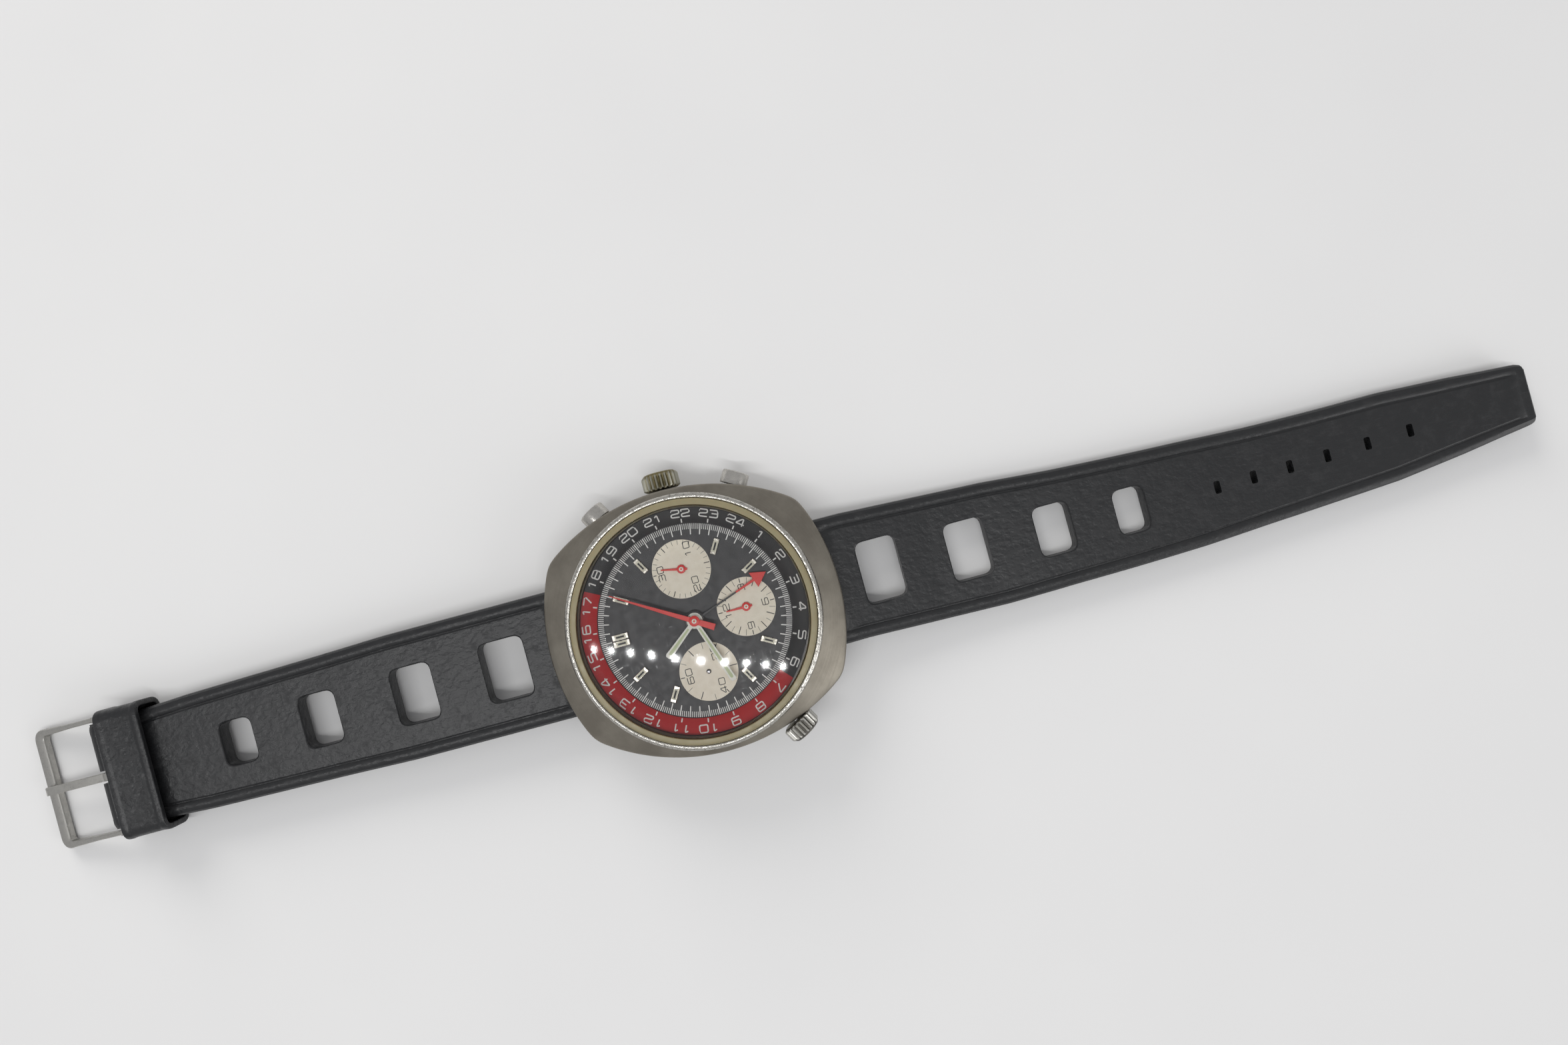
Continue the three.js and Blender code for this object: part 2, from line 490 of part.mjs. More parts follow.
const tailStrap = strapHalf({
  bottom: [[PIVOT.y, 2.2], [23, 2.1], [30, 1.2], [38, 0.35], [46, 0], [110, 0], [123, 0.25],
    [TAIL_TIP, 0.9]],
  top: [[PIVOT.y, 5.6], [23, 5.45], [30, 4.55], [38, 3.7], [46, 3.3], [110, 3.1], [123, 3.3],
    [TAIL_TIP, 3.9]],
  widths: [[16, 20], [37, 19.8], [48, 19.6], [59, 18.5], [69, 17.8], [80, 17], [90.5, 15.8],
    [101, 15], [112, 14.3], [122.6, 12.4], [128.4, 11], [133.4, 9.9], [TAIL_TIP, 8.6]],
  bow: 1.6,
  holes: ventList([[29.5, 6.1, 9.5], [43.6, 6.1, 8.9], [57.4, 5.4, 7.6], [69.8, 4.6, 6.8]]),
  slots: ventList([83.7, 89.6, 95.5, 101.6, 108.2, 115.1].map((d) => [d, 1, 2])),
  end: false,
});
// The half turn about Z carries the tail half to the 6 o'clock side.
add('tail_strap', tailStrap, RUBBER()).rotation.z = Math.PI;

// The loop's outline stands in the XZ plane and its wall runs along the strap.
const keeperOutside = [[-10.25, 0.8], [-9.45, 0], [9.45, 0], [10.25, 0.8], [10.25, 6.1],
  [9.45, 6.9], [-9.45, 6.9], [-10.25, 6.1]];
const keeperInside = [[-9.35, 1.1], [9.35, 1.1], [9.35, 5.8], [-9.35, 5.8]];
const keeperWall = plate(keeperOutside, -KEEPER.to, -KEEPER.from, [keeperInside]);
add('strap_keeper', keeperWall.rotateX(Math.PI / 2), RUBBER());

// ---- Buckle ----
function buckleFrame() {
  const arm = [[BUCKLE.y, BUCKLE.z - 0.85], [BUCKLE.outerY, BUCKLE.outerZ - 0.75],
    [BUCKLE.outerY, BUCKLE.outerZ + 0.8], [BUCKLE.y, BUCKLE.z + 0.85]];
  const parts = [outward(disc(0.85, -9.5, 9.5, 12), 0, BUCKLE.outerZ).translate(0, BUCKLE.outerY, 0)];
  for (const [x0, x1] of [[-9.5, -8.65], [8.65, 9.5]]) {
    parts.push(crosswise(arm, x0, x1));
    parts.push(outward(disc(1.15, x0, x1, 16), 0, BUCKLE.z).translate(0, BUCKLE.y, 0));
  }
  return cut(join(...parts), outward(round(0.46, -12, 12), 0, BUCKLE.z).translate(0, BUCKLE.y, 0));
}
add('buckle_frame', buckleFrame(), BRIGHT());
const buckleBar = add('buckle_bar', join(round(0.7, -8.55, 8.55), round(0.4, -9.4, 9.4)), BRIGHT());
buckleBar.rotation.y = Math.PI / 2;
buckleBar.position.set(0, BUCKLE.y, BUCKLE.z);
const tongueBlank = join(
  crosswise([[BUCKLE.y, 3.2], [106.1, 1.85], [106.3, 2.2], [105.8, 2.5], [BUCKLE.y, 4.3]], -0.65, 0.65),
  outward(disc(1.45, -0.65, 0.65, 16), 0, BUCKLE.z).translate(0, BUCKLE.y, 0));
add('buckle_tongue', cut(tongueBlank, outward(round(0.8, -2, 2), 0, BUCKLE.z).translate(0, BUCKLE.y, 0)),
  BRIGHT());

export default group;
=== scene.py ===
"""A hand-wound wrist chronograph on a perforated rubber strap, laid flat in soft studio light."""
import json
import math

import bpy
from mathutils import Matrix, Vector

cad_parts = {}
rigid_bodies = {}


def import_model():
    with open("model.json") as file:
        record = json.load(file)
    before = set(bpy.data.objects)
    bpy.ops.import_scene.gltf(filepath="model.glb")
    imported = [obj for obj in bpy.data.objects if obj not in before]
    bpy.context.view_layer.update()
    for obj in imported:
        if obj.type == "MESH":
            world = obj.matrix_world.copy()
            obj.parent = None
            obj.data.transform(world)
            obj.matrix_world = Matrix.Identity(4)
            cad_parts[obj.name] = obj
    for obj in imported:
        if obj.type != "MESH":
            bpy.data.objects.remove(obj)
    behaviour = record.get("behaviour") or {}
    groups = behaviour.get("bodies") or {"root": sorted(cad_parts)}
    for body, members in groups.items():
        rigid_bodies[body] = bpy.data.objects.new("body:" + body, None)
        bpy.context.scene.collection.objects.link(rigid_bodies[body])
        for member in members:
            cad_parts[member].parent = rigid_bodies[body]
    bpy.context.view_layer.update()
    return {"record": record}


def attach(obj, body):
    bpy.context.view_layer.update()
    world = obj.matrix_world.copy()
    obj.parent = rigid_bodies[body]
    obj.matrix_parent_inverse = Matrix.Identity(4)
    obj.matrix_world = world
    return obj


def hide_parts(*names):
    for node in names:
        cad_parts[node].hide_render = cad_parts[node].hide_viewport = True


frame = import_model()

SCENE = bpy.context.scene
SCENE.view_settings.view_transform = "Standard"
MM = 0.001

# ---- Sizes in millimetres, in the CAD frame: +Z out of the dial, +Y to 12 o'clock ----
DIAL_TOP = 8.7
SUBDIAL_RADIUS = 4.5
SUBDIAL_FLOOR = DIAL_TOP - 0.1
SUBDIALS = {"3": (8, 0), "6": (0, -8), "9": (-8, 0)}
STEM_Z = 4.6
RING_STEM_Z = 7.3
CROWN_RADIUS = 2.9
RING_CROWN_RADIUS = 2.65
PUSHER_ANGLE = 30
RING_CROWN_ANGLE = 210
RING_TURN = 127.4  # clock degrees of the inner ring's 24
# Arcs of the cushion outline: distance of the apex, sagitta, half chord
SIDE_ARC = (20.2, 6.4, 19.5)
END_ARC = (22.6, 3.1, 13.8)
# Cones of the case: inner radius, height there, slope
UPPER_CONE = (19.4, 10.3, 0.52)
LOWER_CONE = (18.2, 1.25, 0.34)
# Pins across the strap: distance from the centre of the watch, height
PIVOT = (19.3, 3.9)
BUCKLE = (94.6, 3.05)
OUTER_BAR = (105.6, 0.85)
KEEPER_SPAN = (86.5, 93.3)
TAIL_TIP = 134.3
STRAP_REACH = 140.0  # a little past the tail, for shading along the strap

# ---- Fineness ----
TINY = 1e-6
CORNER_SHARE = 0.49  # the most of a side that one rounded corner may take
CASE_STEPS = 360

# ---- Camera, in metres ----
CAMERA_PLACE = (0.01075, -0.0168, 0.1665)
CAMERA_RIGHT = (-0.2605, -0.9655, 0)
CAMERA_UP = (0.9655, -0.2605, 0)


# ---- Small geometry kit: a solid is a pair of vertices and faces, in millimetres ----
def combine(*solids):
    verts, faces = [], []
    for v, f in solids:
        start = len(verts)
        verts += v
        faces += [tuple(i + start for i in face) for face in f]
    return verts, faces


def moved(solid, matrix):
    return [tuple(matrix @ Vector(v)) for v in solid[0]], solid[1]


def shift(x, y, z=0):
    return Matrix.Translation((x, y, z))


def clockwise(degrees):
    return Matrix.Rotation(-math.radians(degrees), 4, "Z")


def outward(degrees, height):
    """Carries a shape built along +Z out along a radius of the watch at one height."""
    turn = Matrix.Rotation(math.radians(degrees), 4, "Z") @ Matrix.Rotation(math.pi / 2, 4, "Y")
    return shift(0, 0, height) @ turn


def across(y, z):
    """Carries a shape built along +Z onto an axis across the strap."""
    return shift(0, y, z) @ Matrix.Rotation(math.pi / 2, 4, "Y")


def rings(loops, closed=False):
    """Joins loops of equal length, each counter-clockwise seen from the far end."""
    count = len(loops[0])
    verts = [p for loop in loops for p in loop]
    faces = []
    spans = len(loops) if closed else len(loops) - 1
    for k in range(spans):
        a, b = k * count, ((k + 1) % len(loops)) * count
        for i in range(count):
            j = (i + 1) % count
            faces.append((a + i, a + j, b + j, b + i))
    if not closed:
        faces.append(tuple(reversed(range(count))))
        faces.append(tuple(range(len(verts) - count, len(verts))))
    return verts, faces


def turned(profile, count):
    """A profile of (radius, height) pairs, counter-clockwise, turned about Z."""
    angles = [2 * math.pi * i / count for i in range(count)]
    verts, faces, loops = [], [], []
    for r, z in profile:
        pole = r < TINY
        loops.append((len(verts), pole))
        verts += [(0, 0, z)] if pole else [(r * math.cos(a), r * math.sin(a), z) for a in angles]
    pairs = list(zip(loops, loops[1:]))
    if not loops[0][1]:
        pairs.append((loops[-1], loops[0]))
    for (a, a_pole), (b, b_pole) in pairs:
        for i in range(count):
            j = (i + 1) % count
            if a_pole:
                faces.append((a, b + j, b + i))
            elif b_pole:
                faces.append((a + i, a + j, b))
            else:
                faces.append((a + i, a + j, b + j, b + i))
    return verts, faces


def rod(radius, z0, z1, count=32):
    return turned([(0, z0), (radius, z0), (radius, z1), (0, z1)], count)


def softened(points, radius, steps=4, closed=True):
    """Rounds the corners of an outline or a line."""
    out = []
    n = len(points)
    for i, p in enumerate(points):
        if not closed and i in (0, n - 1):
            out.append(p)
            continue
        p, a, b = Vector(p), Vector(points[i - 1]), Vector(points[(i + 1) % n])
        cut = min(radius, (a - p).length * CORNER_SHARE, (b - p).length * CORNER_SHARE)
        start = p + (a - p).normalized() * cut
        end = p + (b - p).normalized() * cut
        for k in range(steps + 1):
            t = k / steps
            out.append(tuple(start * (1 - t) ** 2 + p * (2 * t * (1 - t)) + end * t * t))
    return out


def offset(points, distance, closed=True):
    """Moves an outline to its left by a distance, with mitred corners."""
    out = []
    n = len(points)
    for i in range(n):
        p = Vector(points[i])
        before = p - Vector(points[i - 1]) if closed or i else Vector(points[1]) - p
        after = Vector(points[(i + 1) % n]) - p if closed or i < n - 1 else before
        before, after = before.normalized(), after.normalized()
        left = Vector((-before.y - after.y, before.x + after.x))
        if left.length < TINY:
            left = Vector((-after.y, after.x))
        left.normalize()
        scale = max(0.5, left.dot(Vector((-after.y, after.x))))
        out.append(tuple(p + left * (distance / scale)))
    return out


def prism(outline, z0, z1, chamfer=0.0):
    """A counter-clockwise outline raised between two heights, its top edge chamfered if asked."""
    loops = [[(x, y, z0) for x, y in outline]]
    if chamfer:
        loops.append([(x, y, z1 - chamfer) for x, y in outline])
        outline = offset(outline, chamfer)
    loops.append([(x, y, z1) for x, y in outline])
    return rings(loops)


def rectangle(x0, x1, y0, y1):
    return [(x0, y0), (x1, y0), (x1, y1), (x0, y1)]


def circle(radius, count):
    angles = [2 * math.pi * i / count for i in range(count)]
    return [(radius * math.cos(a), radius * math.sin(a)) for a in angles]


def line_solid(points, half, z0, z1, closed=False):
    """A flat printed or painted line of constant width."""
    left, right = offset(points, half, closed), offset(points, -half, closed)
    if not closed:
        return prism(right + left[::-1], z0, z1)
    n = len(points)
    verts = [(x, y, z) for z in (z0, z1) for side in (right, left) for x, y in side]
    faces = []
    for i in range(n):
        j = (i + 1) % n
        faces += [(i, n + i, n + j, j), (2 * n + i, 2 * n + j, 3 * n + j, 3 * n + i),
                  (i, j, 2 * n + j, 2 * n + i), (n + i, 3 * n + i, 3 * n + j, n + j)]
    return verts, faces


def sweep(path, section, closed=False):
    """Carries section(i), a loop of (sideways, up) pairs, along a flat path of (x, y) points."""
    loops = []
    n = len(path)
    for i in range(n):
        here = Vector(path[i])
        a = Vector(path[i - 1]) if closed or i else here
        b = Vector(path[(i + 1) % n]) if closed or i < n - 1 else here
        along = (b - a).normalized()
        right = Vector((along.y, -along.x))
        loops.append([(*(here + right * s), u) for s, u in section(i)])
    return rings(loops, closed)


def rounded_box_section(width, height, radius, steps=3):
    return softened(rectangle(-width / 2, width / 2, -height / 2, height / 2), radius, steps)


# ---- Numerals: plain square stroke figures on a grid one unit high ----
W = 1.08  # width of one figure
FIGURE_GAP = 0.3
FIGURE_CORNER = 0.22
FIGURES = {
    "0": [([(0, 0), (W, 0), (W, 1), (0, 1)], True)],
    "1": [([(0.2, 0.76), (0.56, 1), (0.56, 0)], False)],
    "2": [([(0, 0.74), (0, 1), (W, 1), (W, 0.54), (0, 0.4), (0, 0), (W, 0)], False)],
    "3": [([(0, 1), (W, 1), (W, 0), (0, 0)], False), ([(0.26, 0.52), (W, 0.52)], False)],
    "4": [([(0.82, 0), (0.82, 1), (0.62, 1), (0, 0.36), (0, 0.26), (W, 0.26)], False)],
    "5": [([(W, 1), (0, 1), (0, 0.58), (W, 0.58), (W, 0), (0, 0)], False)],
    "6": [([(W, 1), (0, 1), (0, 0), (W, 0), (W, 0.56), (0, 0.56)], False)],
    "7": [([(0, 1), (W, 1), (W, 0.84), (0.4, 0)], False)],
    "8": [([(0, 0), (W, 0), (W, 1), (0, 1)], True), ([(0, 0.53), (W, 0.53)], False)],
    "9": [([(W, 0.44), (0, 0.44), (0, 1), (W, 1), (W, 0), (0, 0)], False)],
}


def numeral(text, size, half, z0, z1):
    """A number centred on the origin, reading upwards along +Y."""
    total = len(text) * W + (len(text) - 1) * FIGURE_GAP
    solids = []
    for k, figure in enumerate(text):
        left = k * (W + FIGURE_GAP) - total / 2
        for points, closed in FIGURES[figure]:
            placed = [((x + left) * size, (y - 0.5) * size) for x, y in points]
            stroke = softened(placed, FIGURE_CORNER * size, closed=closed)
            solids.append(line_solid(stroke, half, z0, z1, closed))
    return combine(*solids)


# ---- Materials ----
class Finish:
    """One procedural material, with short calls for its nodes. Positions are in millimetres."""

    def __init__(self, name, roughness, metallic=0.0):
        self.material = bpy.data.materials.new(name)
        self.material.use_nodes = True
        self.tree = self.material.node_tree
        self.shader = self.tree.nodes["Principled BSDF"]
        self.shader.inputs["Roughness"].default_value = roughness
        self.shader.inputs["Metallic"].default_value = metallic
        place = self.node("ShaderNodeTexCoord")
        scale = self.node("ShaderNodeVectorMath", operation="SCALE")
        scale.inputs["Scale"].default_value = 1 / MM
        self.tree.links.new(place.outputs["Object"], scale.inputs[0])
        self.position = scale.outputs[0]

    def node(self, kind, **settings):
        made = self.tree.nodes.new(kind)
        for key, value in settings.items():
            setattr(made, key, value)
        return made

    def feed(self, socket, value):
        if isinstance(value, bpy.types.NodeSocket):
            self.tree.links.new(value, socket)
        else:
            socket.default_value = value

    def math(self, operation, a, b=0.0):
        made = self.node("ShaderNodeMath", operation=operation)
        self.feed(made.inputs[0], a)
        self.feed(made.inputs[1], b)
        return made.outputs[0]

    def stretch(self, scale, offset_by=(0, 0, 0)):
        made = self.node("ShaderNodeMapping")
        self.tree.links.new(self.position, made.inputs["Vector"])
        made.inputs["Location"].default_value = offset_by
        made.inputs["Scale"].default_value = scale
        return made.outputs[0]

    def noise(self, scale, detail=4.0, rough=0.55, vector=None):
        made = self.node("ShaderNodeTexNoise")
        self.tree.links.new(vector or self.position, made.inputs["Vector"])
        made.inputs["Scale"].default_value = scale
        made.inputs["Detail"].default_value = detail
        made.inputs["Roughness"].default_value = rough
        return made.outputs["Fac"]

    def cells(self, scale):
        made = self.node("ShaderNodeTexVoronoi")
        self.tree.links.new(self.position, made.inputs["Vector"])
        made.inputs["Scale"].default_value = scale
        return made.outputs["Distance"]

    def ramp(self, value, *stops):
        """Maps a value onto levels, from (position, level) stops."""
        made = self.node("ShaderNodeValToRGB")
        self.tree.links.new(value, made.inputs["Fac"])
        while len(made.color_ramp.elements) < len(stops):
            made.color_ramp.elements.new(0.5)
        for element, (place, level) in zip(made.color_ramp.elements, stops):
            element.position = place
            element.color = (level, level, level, 1)
        return made.outputs["Color"]

    def blend(self, amount, a, b):
        made = self.node("ShaderNodeMix", data_type="RGBA")
        self.feed(made.inputs[0], amount)
        for socket, value in ((made.inputs[6], a), (made.inputs[7], b)):
            self.feed(socket, (*value, 1) if isinstance(value, tuple) else value)
        return made.outputs[2]

    def split(self, vector=None):
        parts = self.node("ShaderNodeSeparateXYZ")
        self.tree.links.new(vector or self.position, parts.inputs[0])
        return parts.outputs

    def distance(self, a, b):
        return self.math("SQRT", self.math("ADD", *[self.math("MULTIPLY", v, v) for v in (a, b)]))

    def polar(self):
        """Angle and radius about the Z axis, and height."""
        x, y, z = self.split()
        return self.math("ARCTAN2", y, x), self.distance(x, y), z

    def vector(self, x, y, z):
        made = self.node("ShaderNodeCombineXYZ")
        for socket, value in zip(made.inputs, (x, y, z)):
            self.feed(socket, value)
        return made.outputs[0]

    def colour(self, value):
        value = (*value, 1) if isinstance(value, tuple) else value
        self.feed(self.shader.inputs["Base Color"], value)

    def roughness(self, value):
        self.feed(self.shader.inputs["Roughness"], value)

    def bump(self, height, strength, depth_mm):
        made = self.node("ShaderNodeBump")
        made.inputs["Strength"].default_value = strength
        made.inputs["Distance"].default_value = depth_mm * MM
        self.tree.links.new(height, made.inputs["Height"])
        self.tree.links.new(made.outputs[0], self.shader.inputs["Normal"])


def brushed_case():
    """Aged steel, brushed round the watch's axis, with stains and dark specks."""
    f = Finish("aged_brushed_steel", 0.42, 1.0)
    angle, radius, height = f.polar()
    lines = f.vector(f.math("MULTIPLY", angle, 2.0), f.math("MULTIPLY", radius, 14.0),
                     f.math("MULTIPLY", height, 14.0))
    grain = f.noise(1.0, 5.0, 0.6, lines)
    stain = f.noise(0.16, 5.0, 0.6)
    specks = f.ramp(f.cells(1.5), (0.0, 1.0), (0.1, 0.0))
    stained = f.ramp(stain, (0.35, 0.0), (0.7, 1.0))
    tone = f.blend(stained, (0.235, 0.215, 0.18), (0.345, 0.32, 0.27))
    tone = f.blend(f.math("MULTIPLY", grain, 0.3), tone, (0.17, 0.15, 0.125))
    f.colour(f.blend(f.math("MULTIPLY", specks, 0.5), tone, (0.07, 0.06, 0.05)))
    f.roughness(f.ramp(grain, (0.25, 0.38), (0.75, 0.56)))
    f.bump(f.math("ADD", grain, f.math("MULTIPLY", specks, -0.7)), 0.25, 0.03)
    return f.material


def polished(name, pits, tone, rough):
    """Bright steel with fine wear, and dirt held in small hollows."""
    f = Finish(name, rough, 1.0)
    wear = f.noise(1.4, 6.0, 0.65)
    hollows = f.ramp(f.noise(2.6, 5.0, 0.7), (0.5, 0.0), (0.62, 1.0))
    darkening = f.math("MULTIPLY", hollows, 0.75 * pits)
    worn = f.blend(wear, tone, tuple(0.8 * c for c in tone))
    f.colour(f.blend(darkening, worn, (0.06, 0.052, 0.045)))
    gloss = f.ramp(wear, (0.3, rough * 0.7), (0.75, rough * 2.0))
    f.roughness(f.math("ADD", gloss, f.math("MULTIPLY", darkening, 0.5)))
    f.bump(f.math("SUBTRACT", f.math("MULTIPLY", wear, 0.3), darkening), 0.3, 0.05)
    return f.material


def worn_crown(name, degrees, height, radius, darkening, brass, steel):
    """Steel ridges over darker grooves, told apart by distance from the crown's own axis."""
    f = Finish(name, 0.35, 1.0)
    turn = f.node("ShaderNodeMapping")
    f.tree.links.new(f.position, turn.inputs["Vector"])
    turn.inputs["Rotation"].default_value = (0, 0, -math.radians(degrees))
    _, y, z = f.split(turn.outputs[0])
    share = f.math("DIVIDE", f.distance(y, f.math("SUBTRACT", z, height)), radius)
    crest = f.ramp(share, (0.86, 0.0), (0.95, 1.0))
    flat_end = f.ramp(share, (0.76, 1.0), (0.8, 0.0))
    patch = f.noise(1.1, 4.0)
    # The grooves get a darker colour than the ridges, mixed with a brass tone by noise.
    groove = f.blend(patch, darkening, brass)
    f.colour(f.blend(f.math("MAXIMUM", crest, flat_end), groove, steel))
    f.roughness(f.ramp(patch, (0.3, 0.28), (0.7, 0.5)))
    f.bump(f.noise(6.0, 4.0), 0.2, 0.04)
    return f.material


def acrylic_underside():
    """The dome's inner face, seen through its outer one: clear, with a trace of haze."""
    f = Finish("acrylic_underside", 0.3)
    f.colour((0.8, 0.82, 0.82))
    f.feed(f.shader.inputs["Alpha"], f.ramp(f.noise(0.5, 3.0), (0.3, 0.0), (0.8, 0.008)))
    return f.material


def acrylic():
    """A clear dome: mirror-like only by its Fresnel share, with a veil of fine scratches."""
    f = Finish("scratched_acrylic", 0.04, 1.0)
    f.colour((0.95, 0.96, 0.96))
    rim = f.node("ShaderNodeFresnel")
    rim.inputs["IOR"].default_value = 1.49
    lengthwise = f.noise(1.0, 6.0, 0.7, f.stretch((0.35, 9.0, 1.0)))
    crosswise = f.noise(1.0, 6.0, 0.7, f.stretch((7.0, 0.5, 1.0), (3, 5, 0)))
    hairlines = f.math("ADD", f.ramp(lengthwise, (0.62, 0.0), (0.72, 1.0)),
                       f.ramp(crosswise, (0.63, 0.0), (0.73, 1.0)))
    veil = f.math("MULTIPLY", hairlines, 0.08)
    f.feed(f.shader.inputs["Alpha"], f.math("ADD", rim.outputs[0], veil))
    f.roughness(f.math("ADD", f.math("MULTIPLY", veil, 4.0), 0.05))
    f.bump(hairlines, 0.05, 0.01)
    return f.material


def yellowed_nylon():
    f = Finish("yellowed_nylon", 0.38)
    age = f.noise(0.6, 5.0)
    f.colour(f.blend(age, (0.27, 0.235, 0.14), (0.20, 0.17, 0.09)))
    f.roughness(f.ramp(age, (0.3, 0.3), (0.7, 0.5)))
    f.shader.inputs["Subsurface Weight"].default_value = 0.1
    f.shader.inputs["Subsurface Scale"].default_value = 0.0008
    return f.material


def enamel(name, tone, rough, mottle=0.12, scale=3.0):
    """Lacquer or print: one colour with faint mottling and an uneven sheen."""
    f = Finish(name, rough)
    grain = f.noise(scale, 5.0)
    f.colour(f.blend(f.math("MULTIPLY", grain, mottle * 2), tone, tuple(0.55 * c for c in tone)))
    f.roughness(f.ramp(grain, (0.3, max(0.05, rough - 0.08)), (0.7, min(1.0, rough + 0.1))))
    f.bump(grain, 0.02, 0.01)
    return f.material


def counter_cream():
    """Cream lacquer with slight foxing."""
    f = Finish("counter_cream", 0.5)
    fox = f.noise(0.9, 6.0, 0.7)
    foxed = f.ramp(fox, (0.4, 0.0), (0.8, 1.0))
    f.colour(f.blend(foxed, (0.90, 0.84, 0.70), (0.80, 0.73, 0.58)))
    f.bump(f.noise(14.0, 3.0), 0.04, 0.01)
    return f.material


def lume():
    f = Finish("aged_lume", 0.75)
    grain = f.noise(5.0, 6.0, 0.7)
    f.colour(f.blend(grain, (0.62, 0.70, 0.44), (0.52, 0.60, 0.36)))
    f.bump(grain, 0.3, 0.03)
    return f.material


def rubber(name, grain_until):
    """Moulded rubber with leather-like grain that fades towards the smooth tail."""
    f = Finish(name, 0.5)
    share = f.math("DIVIDE", f.math("ABSOLUTE", f.split()[1]), STRAP_REACH)
    smooth = grain_until / STRAP_REACH
    fade = f.ramp(share, (smooth - 0.15, 1.0), (min(1.0, smooth), 0.25))
    wander = f.node("ShaderNodeVectorMath", operation="ADD")
    f.tree.links.new(f.stretch((1.0, 0.7, 1.0)), wander.inputs[0])
    f.tree.links.new(f.node("ShaderNodeTexNoise").outputs["Color"], wander.inputs[1])
    creases = f.ramp(f.noise(1.3, 3.0, 0.5, wander.outputs[0]), (0.35, 0.0), (0.6, 1.0))
    dust = f.ramp(f.noise(0.5, 7.0, 0.7), (0.45, 0.0), (0.75, 1.0))
    scuff = f.ramp(f.noise(1.0, 5.0, 0.6, f.stretch((3.0, 0.4, 1.0))), (0.6, 0.0), (0.75, 1.0))
    tone = f.blend(f.math("MULTIPLY", dust, 0.4), (0.009, 0.0095, 0.0105), (0.022, 0.022, 0.023))
    f.colour(f.blend(f.math("MULTIPLY", scuff, 0.25), tone, (0.045, 0.045, 0.047)))
    dull = f.ramp(dust, (0.3, 0.38), (0.7, 0.55))
    f.roughness(f.math("ADD", dull, f.math("MULTIPLY", scuff, 0.08)))
    fine = f.math("MULTIPLY", f.noise(7.0, 4.0), 0.35)
    relief = f.math("ADD", f.math("MULTIPLY", creases, fade), fine)
    f.bump(relief, 0.3, 0.1)
    return f.material


def metal(name, tone, rough, brushed=True):
    """Movement parts: plated metal with fine graining."""
    f = Finish(name, rough, 1.0)
    if brushed:
        grain = f.noise(1.0, 4.0, 0.5, f.stretch((1.0, 18.0, 18.0)))
    else:
        grain = f.noise(9.0, 5.0)
    f.colour(f.blend(f.math("MULTIPLY", grain, 0.5), tone, tuple(0.7 * c for c in tone)))
    f.roughness(f.ramp(grain, (0.3, rough * 0.8), (0.7, rough * 1.4)))
    f.bump(grain, 0.1, 0.01)
    return f.material


CASE_STEEL = brushed_case()
BEZEL_STEEL = polished("worn_polished_steel", 0.8, (0.62, 0.60, 0.55), 0.18)
TRIM_STEEL = polished("trim_steel", 0.2, (0.60, 0.58, 0.54), 0.22)
MARKER_STEEL = polished("marker_steel", 0.25, (0.66, 0.63, 0.55), 0.18)
BUCKLE_STEEL = polished("buckle_steel", 0.12, (0.50, 0.49, 0.46), 0.3)
# Crown colours: a dark groove colour, a brass groove tone, and the ridge steel.
CROWN_STEEL = worn_crown("worn_crown_steel", 0, STEM_Z, CROWN_RADIUS,
                         (0.05, 0.042, 0.02), (0.30, 0.25, 0.12), (0.42, 0.41, 0.34))
RING_CROWN_STEEL = worn_crown("ring_crown_steel", RING_CROWN_ANGLE, RING_STEM_Z, RING_CROWN_RADIUS,
                              (0.04, 0.038, 0.034), (0.2, 0.19, 0.17), (0.55, 0.54, 0.5))
CRYSTAL = acrylic()
CRYSTAL_UNDER = acrylic_underside()
NYLON = yellowed_nylon()
DIAL_BLACK = enamel("dial_black", (0.034, 0.034, 0.036), 0.5, 0.1, 0.8)
RING_BLACK = enamel("ring_black", (0.028, 0.028, 0.030), 0.4)
RING_RED = enamel("ring_red", (0.56, 0.012, 0.016), 0.4, 0.25, 1.6)
HAND_RED = enamel("hand_red", (0.78, 0.02, 0.012), 0.35)
HAND_BLACK = enamel("hand_black", (0.012, 0.012, 0.012), 0.35)
PRINT_WHITE = enamel("print_white", (0.88, 0.88, 0.85), 0.6)
AGED_WHITE = enamel("aged_white", (0.70, 0.68, 0.54), 0.45)
HAND_WHITE = enamel("hand_white", (0.88, 0.89, 0.80), 0.4)
PRINT_BLACK = enamel("print_black", (0.02, 0.02, 0.02), 0.6)
CREAM = counter_cream()
LUME = lume()
STRAP_RUBBER = rubber("strap_rubber", 112.0)
KEEPER_RUBBER = rubber("keeper_rubber", 200.0)
BRASS = metal("movement_brass", (0.62, 0.47, 0.22), 0.3)
GILT = metal("gilt_plate", (0.72, 0.58, 0.34), 0.42, brushed=False)
WORK_STEEL = metal("movement_steel", (0.52, 0.52, 0.53), 0.25)
SEAL = enamel("seal_rubber", (0.02, 0.02, 0.02), 0.6)

SLOT_MATERIALS = {
    "case_steel": CASE_STEEL,
    "polished_steel": TRIM_STEEL,
    "worn_steel": CROWN_STEEL,
    "crystal_clear": CRYSTAL,
    "gasket_yellow": NYLON,
    "seal_rubber": SEAL,
    "movement_brass": BRASS,
    "gilt_plate": GILT,
    "movement_steel": WORK_STEEL,
    "dial_black": DIAL_BLACK,
    "hand_white": LUME,
    "hand_red": HAND_RED,
    "strap_rubber": STRAP_RUBBER,
}


def dress_cad_nodes():
    for part in frame["record"]["subparts"]:
        obj = bpy.data.objects[part["node"]]
        obj.data.materials.clear()
        obj.data.materials.append(SLOT_MATERIALS[part["material_slot"]])


